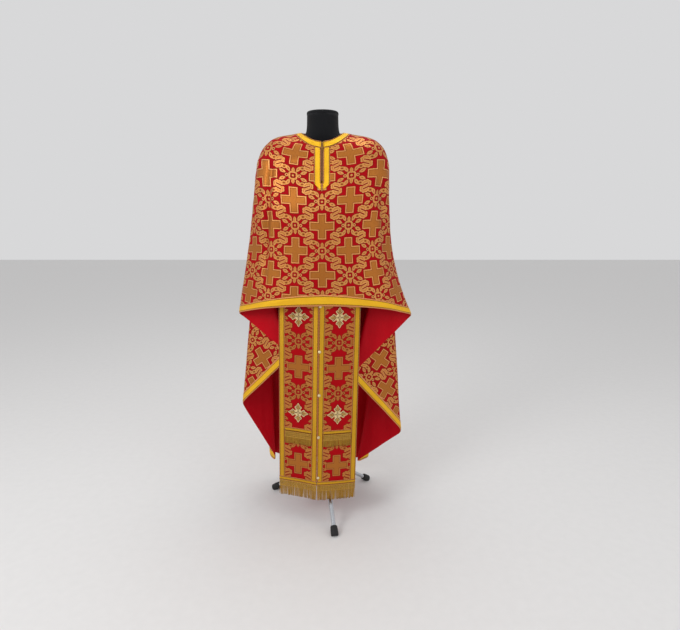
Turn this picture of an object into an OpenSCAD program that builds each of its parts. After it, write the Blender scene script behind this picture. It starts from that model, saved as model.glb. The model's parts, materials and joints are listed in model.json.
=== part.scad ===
// A chasuble and its matching stole, hung on a dress form with a folding tripod.
// Millimetres. +Z is up, -Y is the front, and the origin is on the floor under the pole.

/* [Fabric] */
// Thickness of the brocade shell
brocade_t = 1.2; // [0.8:0.1:1.4]
// Thickness of the satin lining
lining_t = 0.8; // [0.5:0.1:1]
// Thickness of a braid galloon
galloon_t = 0.8; // [0.5:0.1:1]
// Width of the galloon along the cape's hem
hem_galloon_w = 43; // [34:1:48]
// Width of the galloon round the neck
collar_galloon_w = 25; // [18:1:28]

/* [Cape] */
// Half width of the neck opening
neck_half_w = 78; // [76:1:82]
// Height of the front hem at its middle
front_hem_z = 905; // [890:1:920]
// Height of the back hem at its middle
back_hem_z = 92; // [85:1:105]
// Length of the zip's slit, from the neck down
slit_l = 153; // [145:1:156]

/* [Stole] */
// Width of one stole panel
panel_w = 153; // [148:1:155]
// Height of the tips of the stole's fringe
fringe_tip_z = 105; // [95:1:120]
// Width of the galloons along a panel's edges
edge_galloon_w = 22; // [18:1:26]
// Number of buttons down the stole
button_count = 6; // [3:1:6]

/* [Form and stand] */
// Height of the top of the neck
form_top_z = 1600; // [1590:1:1620]
// Radius of the form's neck
form_neck_r = 57.5; // [56:0.5:60]
// Outer radius of the outer pole
pole_r = 14; // [13:0.5:15]
// Outer radius of the mast
mast_r = 11; // [10:0.5:11.5]
// Radius of the circle that the leg ends stand on
feet_r = 244; // [230:1:255]
// Outer radius of a leg tube
leg_r = 8.5; // [7:0.5:9]
// Turn of the tripod about the pole
tripod_turn = 10; // [0:1:60]

/* [Hidden] */

RED = [0.70, 0.06, 0.08];
LINING_RED = [0.62, 0.02, 0.06];
GOLD = [0.85, 0.66, 0.20];
OLD_GOLD = [0.62, 0.48, 0.16];
BRONZE = [0.42, 0.30, 0.24];
BLACK = [0.05, 0.05, 0.06];
CHROME = [0.80, 0.81, 0.83];

skin_gap = 0.3;   // air between two layers of cloth
round_fn = 64;

// ---------------------------------------------------------------- general functions
function mix(a, b, t) = a + (b - a) * t;
function clamp01(t) = max(0, min(1, t));
function arc2(a, b, c, t) = (1 - t) * (1 - t) * a + 2 * t * (1 - t) * b + t * t * c;
function unit(v) = v / norm(v);
function flat(list) = [for (row = list) each row];
function oval(half_w, depth, angle, power) =
    [half_w * pow(abs(sin(angle)), power), -depth * sign(cos(angle)) * pow(abs(cos(angle)), power)];

// ---------------------------------------------------------------- the cape's surface
// Thirteen ribs run from the neck to the hem on each side, from the front seam to the back seam.
// Each row: angle at the neck, angle at the shoulder, waist point, hem point, and how far the fold's
// rounding reaches from the rib. Side 0 is the left, side 1 the right; both are drawn towards +X.
wide = 200;   // a rounding that reaches as far as the neighbouring ribs let it
ribs = [
    [[0, 0, [0, -166, 1080], [0, -170, front_hem_z], wide],
     [25, 24, [110, -158, 1080], [115, -172, front_hem_z - 2], wide],
     [48, 46, [212, -117, 1080], [228, -140, 890], wide],
     [66, 66, [292, -32, 1080], [338, -42, 852], 14],
     [72, 72, [290, -12, 1075], [338, -18, 846], 14],
     [80, 80, [243, 2, 1070], [128, -97, 694], 14],
     [86, 88, [243, 22, 1060], [128, -71, 682], 14],
     [94, 96, [280, 42, 1055], [354, 12, 446], 14],
     [100, 103, [282, 62, 1050], [352, 36, 432], 14],
     [114, 116, [238, 100, 1045], [208, 118, 104], 45],
     [130, 133, [222, 142, 1045], [288, 180, 150], 60],
     [155, 157, [118, 152, 1045], [110, 170, 94], wide],
     [180, 180, [0, 172, 1045], [0, 235, back_hem_z], wide]],
    [[0, 0, [0, -166, 1080], [0, -170, front_hem_z], wide],
     [25, 24, [110, -158, 1080], [115, -172, front_hem_z - 2], wide],
     [48, 46, [205, -115, 1080], [236, -138, 888], wide],
     [66, 66, [261, -32, 1080], [350, -42, 844], 14],
     [72, 72, [259, -12, 1075], [350, -18, 838], 14],
     [80, 80, [218, 2, 1070], [107, -97, 612], 14],
     [86, 88, [218, 22, 1060], [107, -71, 596], 14],
     [94, 96, [262, 42, 1055], [334, 18, 318], 14],
     [100, 103, [264, 62, 1050], [332, 42, 302], 14],
     [114, 116, [232, 100, 1045], [122, 122, 104], 45],
     [130, 133, [220, 142, 1045], [236, 205, 104], 60],
     [155, 157, [118, 152, 1045], [105, 168, 94], wide],
     [180, 180, [0, 172, 1045], [0, 235, back_hem_z], wide]]];
last_rib = len(ribs[0]) - 1;
hem_row = 4;                        // level of the hem: 0 neck, 1 shoulder, 2 chest, 3 waist
neck_front = [0, -85, 1486];
chest_front = [0, -158, 1262];
shoulder_front = (neck_front + chest_front) / 2;
neck_side_z = 1524;
neck_back = [70, 1533];             // depth and height behind the neck
shoulder_half_w = [225, 236];
shoulder_side_z = [1503, 1500];
shoulder_back = [112, 1478];
chest_half_w = [264, 255];
chest_side_z = 1330;
chest_back_y = 150;
ease = 0.77;                        // squareness of the ovals
slit_half_w = 4;

function neck_point(a) = let (p = oval(neck_half_w, a < 90 ? -neck_front[1] : neck_back[0], a, 1))
    [p[0], p[1], mix(a < 90 ? neck_front[2] : neck_back[1], neck_side_z, pow(sin(a), 2))];
function shoulder_point(side, a) =
    let (p = oval(shoulder_half_w[side], a < 90 ? -shoulder_front[1] : shoulder_back[0], a, ease))
    [p[0], p[1], mix(a < 90 ? shoulder_front[2] : shoulder_back[1], shoulder_side_z[side], pow(sin(a), 1.2))];
function chest_point(side, a) =
    let (p = oval(chest_half_w[side], a < 90 ? -chest_front[1] : chest_back_y, a, ease))
    [p[0], p[1], a < 90 ? mix(chest_front[2], chest_side_z, pow(sin(a), 2)) : chest_side_z];
function rib_line(side, i) = let (rib = ribs[side][i])
    [neck_point(rib[0]), shoulder_point(side, rib[1]), chest_point(side, rib[1]), rib[2], rib[3]];
rib_lines = [for (side = [0, 1]) [for (i = [0:last_rib]) rib_line(side, i)]];

// A point of rib i: straight lines from row to row, rounded at the shoulder, the chest and the waist.
function bend(i, k) = k == 2 && i < 2 ? 0.2 + 0.1 * i : 0.5;
function rib_point(side, i, level) =
    let (line = rib_lines[side][i], k = min(hem_row, max(0, round(level))), v = level - k, f = bend(i, k),
         p = line[k], above = line[max(0, k - 1)], below = line[min(hem_row, k + 1)])
    v < -f || k == hem_row ? mix(p, above, -v)
    : v > f || k == 0 ? mix(p, below, v)
    : arc2(mix(p, above, f), p, mix(p, below, f), (v + f) / (2 * f));
// The rib beyond each seam is the mirror image of the one before it.
function rib_at(side, i, level) = i < 0 || i > last_rib
    ? let (p = rib_point(side, i < 0 ? 1 : last_rib - 1, level)) [-p[0], p[1], p[2]]
    : rib_point(side, i, level);
// A point of the cape in column [rib, k]: k runs from -1 to 1 over the rounding at the rib.
function cape_point(side, column, level) =
    let (i = column[0], p = rib_at(side, i, level), before = rib_at(side, i - 1, level),
         after = rib_at(side, i + 1, level), reach = ribs[side][i][4],
         fa = min(0.45, reach / norm(p - before)), fb = min(0.45, reach / norm(p - after)))
    arc2(mix(p, before, fa), p, mix(p, after, fb), (column[1] + 1) / 2);
function on_seam(column) = column[1] == 0 && (column[0] == 0 || column[0] == last_rib);
function cape_normal(side, column, level) =
    let (e = 0.02, i = column[0], k = column[1],
         down = cape_point(side, column, level + e) - cape_point(side, column, level - e),
         across = on_seam(column) ? [i == 0 ? 1 : -1, 0, 0]
             : cape_point(side, [i, min(1, k + e)], level) - cape_point(side, [i, max(-1, k - e)], level))
    unit(cross(down, across));
// Half of the zip's slit is cut from the front edge. The seam is rounded, so its foot's level is mended once.
level_l = norm(shoulder_front - neck_front);
function slit_run(level) = (cape_point(0, [0, 0], level) - neck_front) * unit(chest_front - neck_front);
slit_level = slit_l / level_l + (slit_l - slit_run(slit_l / level_l)) / level_l;
slit_taper = 0.06;
function slit_x(level) = slit_half_w * clamp01((slit_level - level) / slit_taper);
function cloth_point(side, column, level, offset) =
    let (q = cape_point(side, column, level), p = q + offset * cape_normal(side, column, level))
    on_seam(column) ? [column[0] == 0 ? slit_x(level) : 0, p[1], p[2]] : p;

// Four columns over each sharp fold, three over each soft one.
columns = [[0, 0], [0, 0.4], [0, 1], [1, -1], [1, 0], [1, 1], [2, -1], [2, 0], [2, 1],
    for (i = [3:10], k = [-1, -0.33, 0.33, 1]) [i, k],
    [11, -1], [11, 0], [11, 1], [12, -1], [12, 0]];
// Row k of the cloth. Row 1 is the collar galloon's edge, and the row before the last the hem galloon's.
mid_levels = [0.5, 0.8, slit_level - slit_taper, slit_level, 1.7, 2, 2.35, 2.7, 3, 3.3, 3.65];
rows = len(mid_levels) + 4;
function collar_level(side, column) =
    collar_galloon_w / norm(cape_point(side, column, 0.4) - cape_point(side, column, 0)) * 0.4;
function hem_level(side, column) =
    hem_row - hem_galloon_w / norm(cape_point(side, column, hem_row) - cape_point(side, column, 3.8)) * 0.2;
function row_level(side, column, k) = k == 0 ? 0 : k == 1 ? collar_level(side, column)
    : k == rows - 2 ? hem_level(side, column) : k == rows - 1 ? hem_row : mid_levels[k - 2];
function cloth_row(side, k, offset, first = 0) =
    [for (c = [first:len(columns) - 1])
        cloth_point(side, columns[c], row_level(side, columns[c], k), offset)];

// ---------------------------------------------------------------- solids from grids of points
// A closed solid between two grids of points of the same size.
module slab(top, bottom) {
    m = len(top);
    n = len(top[0]);
    base = m * n;
    function corner(r, c) = r * n + c;
    function pair(a, b) = [[a, b, base + b], [a, base + b, base + a]];
    faces = concat(
        flat([for (r = [0:m - 2], c = [0:n - 2])
            [[corner(r, c), corner(r, c + 1), corner(r + 1, c + 1)],
             [corner(r, c), corner(r + 1, c + 1), corner(r + 1, c)]]]),
        flat([for (r = [0:m - 2], c = [0:n - 2])
            [[base + corner(r, c), base + corner(r + 1, c + 1), base + corner(r, c + 1)],
             [base + corner(r, c), base + corner(r + 1, c), base + corner(r + 1, c + 1)]]]),
        flat([for (c = [0:n - 2]) concat(pair(corner(0, c + 1), corner(0, c)),
            pair(corner(m - 1, c), corner(m - 1, c + 1)))]),
        flat([for (r = [0:m - 2]) concat(pair(corner(r, 0), corner(r + 1, 0)),
            pair(corner(r + 1, n - 1), corner(r, n - 1)))]));
    polyhedron(concat(flat(top), flat(bottom)), faces, convexity = 12);
}
// A closed wall between two stacks of rings.
module ring_wall(outer, inner) {
    m = len(outer);
    n = len(outer[0]);
    base = m * n;
    function corner(r, c) = r * n + c % n;
    faces = flat([for (c = [0:n - 1]) concat(
        flat([for (r = [0:m - 2])
            [[corner(r, c), corner(r + 1, c + 1), corner(r, c + 1)],
             [corner(r, c), corner(r + 1, c), corner(r + 1, c + 1)],
             [base + corner(r, c), base + corner(r, c + 1), base + corner(r + 1, c + 1)],
             [base + corner(r, c), base + corner(r + 1, c + 1), base + corner(r + 1, c)]]]),
        [[corner(0, c), corner(0, c + 1), base + corner(0, c + 1)],
         [corner(0, c), base + corner(0, c + 1), base + corner(0, c)],
         [corner(m - 1, c), base + corner(m - 1, c + 1), corner(m - 1, c + 1)],
         [corner(m - 1, c), base + corner(m - 1, c), base + corner(m - 1, c + 1)]])]);
    polyhedron(concat(flat(outer), flat(inner)), faces, convexity = 6);
}
module on_side(side) {
    if (side == 0) mirror([1, 0, 0]) children();
    else children();
}
module cape_layer(side, inner, outer, first_row, last_row, first_column = 0) {
    on_side(side)
        slab([for (k = [first_row:last_row]) cloth_row(side, k, outer, first_column)],
             [for (k = [first_row:last_row]) cloth_row(side, k, inner, first_column)]);
}

// ---------------------------------------------------------------- cape
braid_from = brocade_t + skin_gap;
braid_to = braid_from + galloon_t;
module cape_half(side) { color(RED) cape_layer(side, 0, brocade_t, 0, rows - 1); }
module cape_lining(side) {
    color(LINING_RED) cape_layer(side, -skin_gap - lining_t, -skin_gap, 0, rows - 1);
}
module hem_galloon(side) { color(GOLD) cape_layer(side, braid_from, braid_to, rows - 2, rows - 1); }
module collar_galloons() {
    color(GOLD) for (side = [0, 1]) cape_layer(side, braid_from, braid_to, 0, 1, 1);
}

// Everything on the slit lies in one sloping plane, drawn with x across and y up the slit to the neck edge.
slit_tilt = atan2(neck_front[1] - chest_front[1], neck_front[2] - chest_front[2]);
module on_slit(height) {
    translate(neck_front) rotate([90 - slit_tilt, 0, 0]) translate([0, 0, height]) children();
}
placket_w = 24;
placket_top = -collar_galloon_w - 1;
placket_tip = -slit_l - 31;
placket_lift = 1;   // air under the placket, where the cape curves up to it
module placket_galloon(side) {
    edge = slit_half_w + placket_w;
    color(GOLD) on_side(side) on_slit(braid_from + placket_lift) linear_extrude(galloon_t)
        polygon([[slit_half_w, placket_top], [edge, placket_top], [edge, placket_tip + edge],
                 [0.1, placket_tip], [0.1, placket_tip + 27], [slit_half_w, placket_tip + 31]]);
}
tooth_l = 1.9;
module zip_tapes() {
    tape_w = slit_half_w - 0.2 - tooth_l - 0.2;
    color(BRONZE) on_slit(0.1) for (side = [0, 1]) on_side(side) linear_extrude(1)
        translate([tooth_l + 0.2, -slit_l + 9]) square([tape_w, slit_l - 10]);
}
tooth_pitch = 4;
module zip_teeth() {
    color(OLD_GOLD) on_slit(0.1) for (side = [0, 1]) on_side(side)
        for (y = [4:tooth_pitch:slit_l - 12])
            translate([0.1, -y - side * tooth_pitch / 2 - 1.1, 0]) cube([tooth_l, 1.6, 1.4]);
}
slider_y = -8;        // where the slider's bridge stands when the slit is closed
slider_back = 1.9;
slider_face = 4.4;    // height of the slider's front face above the cape
bridge_height = slider_face + 2.1;
bridge_r = 0.8;
slider_half_w = 3.6;
module zip_slider() {
    color(BRONZE) on_slit(0) translate([0, slider_y, 0]) {
        translate([0, 0, slider_back]) linear_extrude(slider_face - slider_back)
            polygon([[-slider_half_w, 6], [slider_half_w, 6], [2.8, -6], [-2.8, -6]]);
        for (s = [-1, 1]) translate([s * 2.9 - 0.5, -1.2, slider_face - 0.1]) cube([1, 2.4, 3]);
        translate([-3, 0, bridge_height]) rotate([0, 90, 0]) cylinder(r = bridge_r, h = 6, $fn = 24);
    }
}
pull_l = 21;
module zip_pull() {
    color(GOLD) on_slit(0) translate([0, slider_y, bridge_height]) difference() {
        union() {
            translate([-2, 0, 0]) rotate([0, 90, 0]) cylinder(r = 1.7, h = 4, $fn = 32);
            translate([-2, -pull_l + 1, -0.6]) cube([4, pull_l - 1, 1.2]);
            translate([0, -pull_l, -0.6]) cylinder(r = 3.4, h = 1.2, $fn = 40);
        }
        translate([-3, 0, 0]) rotate([0, 90, 0]) cylinder(r = bridge_r + 0.4, h = 6, $fn = 32);
        translate([0, -pull_l, -1]) cylinder(r = 1.6, h = 3, $fn = 32);
    }
}
// A budded cross of four pointed arms round a square, about size across, in the x, y plane.
module budded_cross(size) {
    square(size * 0.42, center = true);
    for (a = [0:90:270]) rotate(a) polygon([[-0.1, 0.1] * size, [-0.17, 0.3] * size, [0, 0.5] * size,
        [0.17, 0.3] * size, [0.1, 0.1] * size]);
}
back_cross_z = 1190;
back_cross_w = 150;
back_first_row = 7;                   // the rows and columns of the cape's grid that the cross lies on
back_last_row = 10;
back_first_column = len(columns) - 5;
module back_cross() {
    color(OLD_GOLD) for (side = [0, 1]) intersection() {
        cape_layer(side, braid_from, braid_from + 1.4, back_first_row, back_last_row, back_first_column);
        translate([0, 300, back_cross_z]) rotate([90, 0, 0]) linear_extrude(300) budded_cross(back_cross_w);
    }
}

// ---------------------------------------------------------------- stole
stole_top_z = 1372;
panel_foot_z = fringe_tip_z + 64;
stole_levels = [0, 0.05, 0.1, 0.17, 0.26, 0.38, 0.5, 0.6, 0.7, 0.8, 0.9, 1];
free_z = 905;           // below this height the stole hangs clear of the cape
// The middle of the stole drifts to the left on its way down.
function stole_x(z) = mix(-33, -13, z / free_z);
function front_y(z) = z > chest_front[2]
    ? mix(neck_front[1], chest_front[1], (neck_front[2] - z) / (neck_front[2] - chest_front[2]))
    : mix(chest_front[1], -170, clamp01((chest_front[2] - z) / 357));
// The panels hang clear behind the cape's front, then straight down; their outer edges turn back.
function stole_y(side, w, z) =
    let (drop = clamp01((stole_top_z - z) / 300), t = w / panel_w,
         plumb = z > free_z ? front_y(z) + mix(9, 13, drop) : mix(-166, -157, z / free_z),
         back = side == 0 ? mix(18, 48, drop) * t
             : (24 + 8 * clamp01((z - free_z) / 150)) * t * t)
    plumb + back;
function stole_normal(side, w, z) =
    let (sx = side == 0 ? -1 : 1,
         across = [2 * sx, stole_y(side, w + 1, z) - stole_y(side, w - 1, z), 0],
         up = [0, stole_y(side, w, z + 1) - stole_y(side, w, z - 1), 2],
         n = unit(cross(across, up)))
    n[1] < 0 ? n : -n;
function stole_point(side, w, z, offset) =
    [stole_x(z) + (side == 0 ? -1 : 1) * (0.4 + w), stole_y(side, w, z), z]
        + offset * stole_normal(side, w, z);
middle_columns = [52, 76, 103];
panel_columns = [0, edge_galloon_w, each middle_columns, panel_w - edge_galloon_w, panel_w];
function reversed(list) = [for (k = [len(list) - 1:-1:0]) list[k]];
function stole_grid(side, offset, heights, widths) =
    [for (z = heights) [for (w = side == 0 ? reversed(widths) : widths) stole_point(side, w, z, offset)]];
// A layer of a panel between two offsets, at some of its heights and widths.
module stole_layer(side, from, to, heights, widths) {
    slab(stole_grid(side, to, heights, widths), stole_grid(side, from, heights, widths));
}
function widths_between(a, b) = [for (w = panel_columns) if (w >= a && w <= b) w];
all_heights = [for (t = stole_levels) mix(stole_top_z, panel_foot_z, t)];
panel_t = 1.4;
trim_from = panel_t + skin_gap;
trim_to = trim_from + galloon_t;
module stole_panel(side) { color(RED) stole_layer(side, 0, panel_t, all_heights, panel_columns); }
module stole_lining(side) {
    color(LINING_RED) stole_layer(side, -skin_gap - lining_t, -skin_gap, all_heights, panel_columns);
}
module stole_outer_galloon(side) {
    color(GOLD) stole_layer(side, trim_from, trim_to, all_heights,
        widths_between(panel_w - edge_galloon_w, panel_w));
}
module stole_inner_galloon(side) {
    color(GOLD) stole_layer(side, trim_from, trim_to, all_heights, widths_between(0, edge_galloon_w));
}
narrow_w = 16.5;
mid_top_z = fringe_tip_z + 301;
mid_fringe_l = 69;
between = [edge_galloon_w + 0.4, each middle_columns, panel_w - edge_galloon_w - 0.4];
module stole_mid_galloons() {
    color(GOLD) for (side = [0, 1])
        stole_layer(side, trim_from, trim_to, [mid_top_z, mid_top_z - narrow_w], between);
}
module stole_mid_fringes() {
    color(OLD_GOLD) for (side = [0, 1])
        stole_layer(side, trim_from, trim_to + 1,
            [mid_top_z - narrow_w - 0.2, mid_top_z - mid_fringe_l], between);
}
hem_from = trim_to + skin_gap;
module stole_hem_galloons() {
    color(GOLD) for (side = [0, 1])
        stole_layer(side, hem_from, hem_from + galloon_t,
            [panel_foot_z + 20, panel_foot_z + 3], panel_columns);
}
module stole_hem_fringes() {
    color(OLD_GOLD) for (side = [0, 1])
        stole_layer(side, 0.2, trim_to + 1, [panel_foot_z - 0.3, fringe_tip_z], panel_columns);
}
// The yoke of the stole lies under the cape, round the back of the neck.
yoke_levels = [0.1, 0.3, 0.5, 0.75, 1];
yoke_gap = 6;
function yoke_level(column, level) = level * mix(1, 0.55, clamp01((column[0] + column[1] / 2) / 2));
function yoke_point(side, column, level, offset) =
    let (q = cape_point(side, column, level), p = q + offset * cape_normal(side, column, level))
    on_seam(column) ? [0.3, p[1], p[2]] : p;
function yoke_grid(side, offset) =
    [for (level = yoke_levels) [for (column = columns)
        yoke_point(side, column, yoke_level(column, level), offset)]];
module stole_neck(side) {
    color(RED) on_side(side) slab(yoke_grid(side, -yoke_gap), yoke_grid(side, -yoke_gap - panel_t));
}
cross_w = 80;
cross_from_edge = 76;   // how far the crosses lie from a panel's inner edge
cross_heights = [858, 472];
module stole_crosses() {
    color(OLD_GOLD) for (side = [0, 1], z = cross_heights) {
        n = stole_normal(side, cross_from_edge, z);
        translate(stole_point(side, cross_from_edge, z, trim_from + 1.2)) rotate([90, 0, atan2(n[0], -n[1])])
            linear_extrude(1.2) budded_cross(cross_w);
    }
}
button_pitch = 174;
button_low_z = 205;
module stole_buttons() {
    color(GOLD) for (k = [0:button_count - 1]) {
        z = button_low_z + k * button_pitch;
        p = stole_point(1, 4, z, trim_to + skin_gap);
        translate([stole_x(z) + 4, p[1], z]) rotate([90, 0, 0]) {
            cylinder(r = 1.6, h = 1.2, $fn = 24);
            translate([0, 0, 1.2]) cylinder(r1 = 6.2, r2 = 4.2, h = 1.6, $fn = 48);
            translate([0, 0, 2.8]) cylinder(r1 = 4.2, r2 = 1.6, h = 0.9, $fn = 48);
        }
    }
}

// ---------------------------------------------------------------- dress form
// Rings of the form: height, half width, depth to the front, depth to the back.
form_base_z = 862;
form_rings = [
    [form_base_z, 150, 104, 112], [900, 160, 108, 118], [960, 165, 110, 120], [1020, 158, 108, 112],
    [1080, 148, 104, 102], [1150, 152, 106, 100], [1220, 172, 110, 106], [1290, 194, 104, 110],
    [1340, 204, 90, 108], [1390, 207, 76, 100], [1425, 203, 66, 90], [1452, 192, 60, 80],
    [1474, 172, 57, 73], [1488, 146, 56, 69], [1497, 118, 56, 66], [1504, 92, 57, 63],
    [1512, 72, 58, 61], [1524, 62, 58.5, 59.5], [1545, 58.5, 58, 58],
    [form_top_z - 12, form_neck_r, form_neck_r, form_neck_r]];
form_wall = 4;
function form_ring(row, inset) = [for (a = [0:9:351])
    let (p = oval(row[1] - inset, (cos(a) > 0 ? row[2] : row[3]) - inset, a, 0.87))
    [p[0] * sign(sin(a) + 0.0000001), p[1], row[0]]];
module form_shell() {
    color(BLACK) ring_wall([for (row = form_rings) form_ring(row, 0)],
        [for (row = form_rings) form_ring(row, form_wall)]);
}
module neck_cap() {
    rim = form_neck_r + 1;
    color(BLACK) translate([0, 0, form_top_z - 12]) rotate_extrude($fn = round_fn)
        polygon(concat([[0, 0], [rim, 0], [rim, 5]],
            [for (a = [15:15:90]) [rim - 7 + 7 * cos(a), 5 + 7 * sin(a)]], [[0, 12]]));
}
plate_t = 10;
module base_plate() {
    color("tan") translate([0, 0, form_base_z - plate_t]) difference() {
        linear_extrude(plate_t) polygon([for (p = form_ring(form_rings[0], 1)) [p[0], p[1]]]);
        translate([0, 0, -1]) cylinder(r = socket_r + 0.2, h = plate_t + 2, $fn = round_fn);
        socket_holes(-1, plate_t + 2);
    }
}
socket_r = 16;
socket_flange_r = 42;
socket_flange_t = 5;
socket_foot_z = 800;
screw_ring_r = 31;
screw_r = 2.4;
module socket_holes(z, h) {
    for (a = [45:90:315]) rotate(a) translate([screw_ring_r, 0, z]) cylinder(r = screw_r, h = h, $fn = 32);
}
module pole_socket() {
    color(CHROME) difference() {
        union() {
            translate([0, 0, socket_foot_z]) cylinder(r = socket_r, h = 90, $fn = round_fn);
            translate([0, 0, form_base_z - plate_t - socket_flange_t])
                cylinder(r = socket_flange_r, h = socket_flange_t, $fn = round_fn);
        }
        translate([0, 0, socket_foot_z - 1]) cylinder(r = mast_r + 0.06, h = 92, $fn = round_fn);
        translate([0, 0, form_base_z - plate_t - socket_flange_t]) socket_holes(-1, socket_flange_t + 2);
    }
}
module socket_screws() {
    head_z = form_base_z - plate_t - socket_flange_t;
    color(CHROME) for (a = [45:90:315]) rotate(a) translate([screw_ring_r, 0, 0]) {
        translate([0, 0, head_z - 2.6]) cylinder(r = 4.4, h = 2.6, $fn = 32);
        translate([0, 0, head_z - 0.5]) cylinder(r = screw_r, h = plate_t + 8, $fn = 32);
    }
}

// ---------------------------------------------------------------- pole and tripod
mast_foot_z = 330;
mast_top_z = 985;
pole_foot_z = 135;
pole_top_z = 620;
pole_wall = 1.8;
module tube(r, wall, from, to) {
    translate([0, 0, from]) difference() {
        cylinder(r = r, h = to - from, $fn = round_fn);
        translate([0, 0, -1]) cylinder(r = r - wall, h = to - from + 2, $fn = round_fn);
    }
}
module mast() { color(CHROME) tube(mast_r, 1.5, mast_foot_z, mast_top_z); }
module mast_stop_ring() { color(BLACK) tube(socket_r, socket_r - mast_r, socket_foot_z - 14, socket_foot_z); }
module outer_pole() { color(CHROME) tube(pole_r, pole_wall, pole_foot_z, pole_top_z); }
module pole_bushing() {
    color(BLACK) union() {
        tube(pole_r - pole_wall, pole_r - pole_wall - mast_r - 0.06, pole_top_z - 50, pole_top_z);
        tube(pole_r + 2, pole_r + 2 - mast_r - 0.06, pole_top_z, pole_top_z + 5);
    }
}
collar_z = 560;
collar_h = 38;
collar_r = 21;
boss_l = 30;
screw_bore_r = 3.2;
module height_collar() {
    color(BLACK) difference() {
        union() {
            translate([0, 0, collar_z]) cylinder(r = collar_r, h = collar_h, $fn = round_fn);
            translate([0, 0, collar_z + collar_h / 2]) rotate([0, 90, 0])
                cylinder(r = 9, h = boss_l, $fn = 48);
        }
        translate([0, 0, collar_z - 1]) cylinder(r = pole_r, h = collar_h + 2, $fn = round_fn);
        translate([pole_r - 2, 0, collar_z + collar_h / 2]) rotate([0, 90, 0])
            cylinder(r = screw_bore_r, h = boss_l, $fn = 32);
    }
}
module clamp_knob() {
    color(BLACK) translate([0, 0, collar_z + collar_h / 2]) rotate([0, 90, 0]) {
        translate([0, 0, boss_l + 0.6]) difference() {
            cylinder(r = 17, h = 15, $fn = round_fn);
            for (a = [0:60:300]) rotate(a) translate([21, 0, -1]) cylinder(r = 7, h = 17, $fn = 32);
        }
        translate([0, 0, pole_r + 0.4])
            cylinder(r = screw_bore_r - 0.06, h = boss_l - pole_r + 1.5, $fn = 32);
    }
}
hub_z = 143;
hub_h = 44;
hub_r = 22;
pivot_r = 38;
pivot_z = 163;
leg_slope = 36.5;
tongue_w = 9;
ear_t = 4;
ear_gap = 0.25;
pin_r = 3;
leg_turns = [tripod_turn, tripod_turn + 120, tripod_turn - 120];   // front, right, left
module at_leg(turn) { rotate(turn - 90) children(); }
module tripod_hub() {
    color(BLACK) difference() {
        union() {
            translate([0, 0, hub_z]) cylinder(r = hub_r, h = hub_h, $fn = round_fn);
            for (turn = leg_turns) at_leg(turn) for (s = [-1, 1])
                translate([hub_r - 6, s * (tongue_w / 2 + ear_gap + ear_t / 2), pivot_z])
                    rotate([90, 0, 0]) translate([0, 0, -ear_t / 2]) linear_extrude(ear_t) union() {
                        translate([0, -9]) square([pivot_r - hub_r + 6, 18]);
                        translate([pivot_r - hub_r + 6, 0]) circle(r = 9, $fn = 48);
                    }
        }
        translate([0, 0, hub_z - 1]) cylinder(r = pole_r, h = hub_h + 2, $fn = round_fn);
        for (turn = leg_turns) at_leg(turn) translate([pivot_r, 20, pivot_z]) rotate([90, 0, 0])
            cylinder(r = pin_r, h = 40, $fn = 32);
    }
}
module hub_end_cap() {
    color(BLACK) translate([0, 0, pole_foot_z - 6]) cylinder(r = pole_r, h = 6, $fn = round_fn);
}
module leg_pivot_pins() {
    half = tongue_w / 2 + ear_gap + ear_t;
    color(CHROME) for (turn = leg_turns) at_leg(turn) translate([pivot_r, 0, pivot_z]) rotate([90, 0, 0]) {
        translate([0, 0, -half]) cylinder(r = pin_r, h = 2 * half, $fn = 32);
        for (s = [-1, 1]) translate([0, 0, s * (half + 0.9) - 0.9])
            cylinder(r = pin_r + 1.5, h = 1.8, $fn = 32);
    }
}
// A leg lies along +X in its own axes, from its pivot at the origin.
foot_r = 15;
leg_l = (feet_r - pivot_r) / cos(leg_slope);
module in_leg(turn) { at_leg(turn) translate([pivot_r, 0, pivot_z]) rotate([0, leg_slope, 0]) children(); }
module leg(k) {
    color(CHROME) in_leg(leg_turns[k]) difference() {
        union() {
            rotate([90, 0, 0]) translate([0, 0, -tongue_w / 2]) linear_extrude(tongue_w) union() {
                circle(r = 8, $fn = 48);
                translate([0, -7]) square([24, 14]);
            }
            translate([20, 0, 0]) rotate([0, 90, 0]) cylinder(r = leg_r, h = leg_l - 20, $fn = round_fn);
        }
        translate([0, 20, 0]) rotate([90, 0, 0]) cylinder(r = pin_r + 0.06, h = 40, $fn = 32);
    }
}
foot_l = 38;
module foot(k) {
    color(BLACK) difference() {
        in_leg(leg_turns[k]) difference() {
            translate([leg_l - foot_l + 12, 0, 0]) rotate([0, 90, 0]) rotate_extrude($fn = round_fn)
                polygon([[0, 0], [foot_r - 3, 0], [foot_r - 1.5, 3], [foot_r, 16],
                         [foot_r, foot_l - 3], [foot_r - 3, foot_l], [0, foot_l]]);
            rotate([0, 90, 0]) cylinder(r = leg_r, h = leg_l, $fn = round_fn);
        }
        translate([-400, -400, -50]) cube([800, 800, 50]);
    }
}

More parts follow.
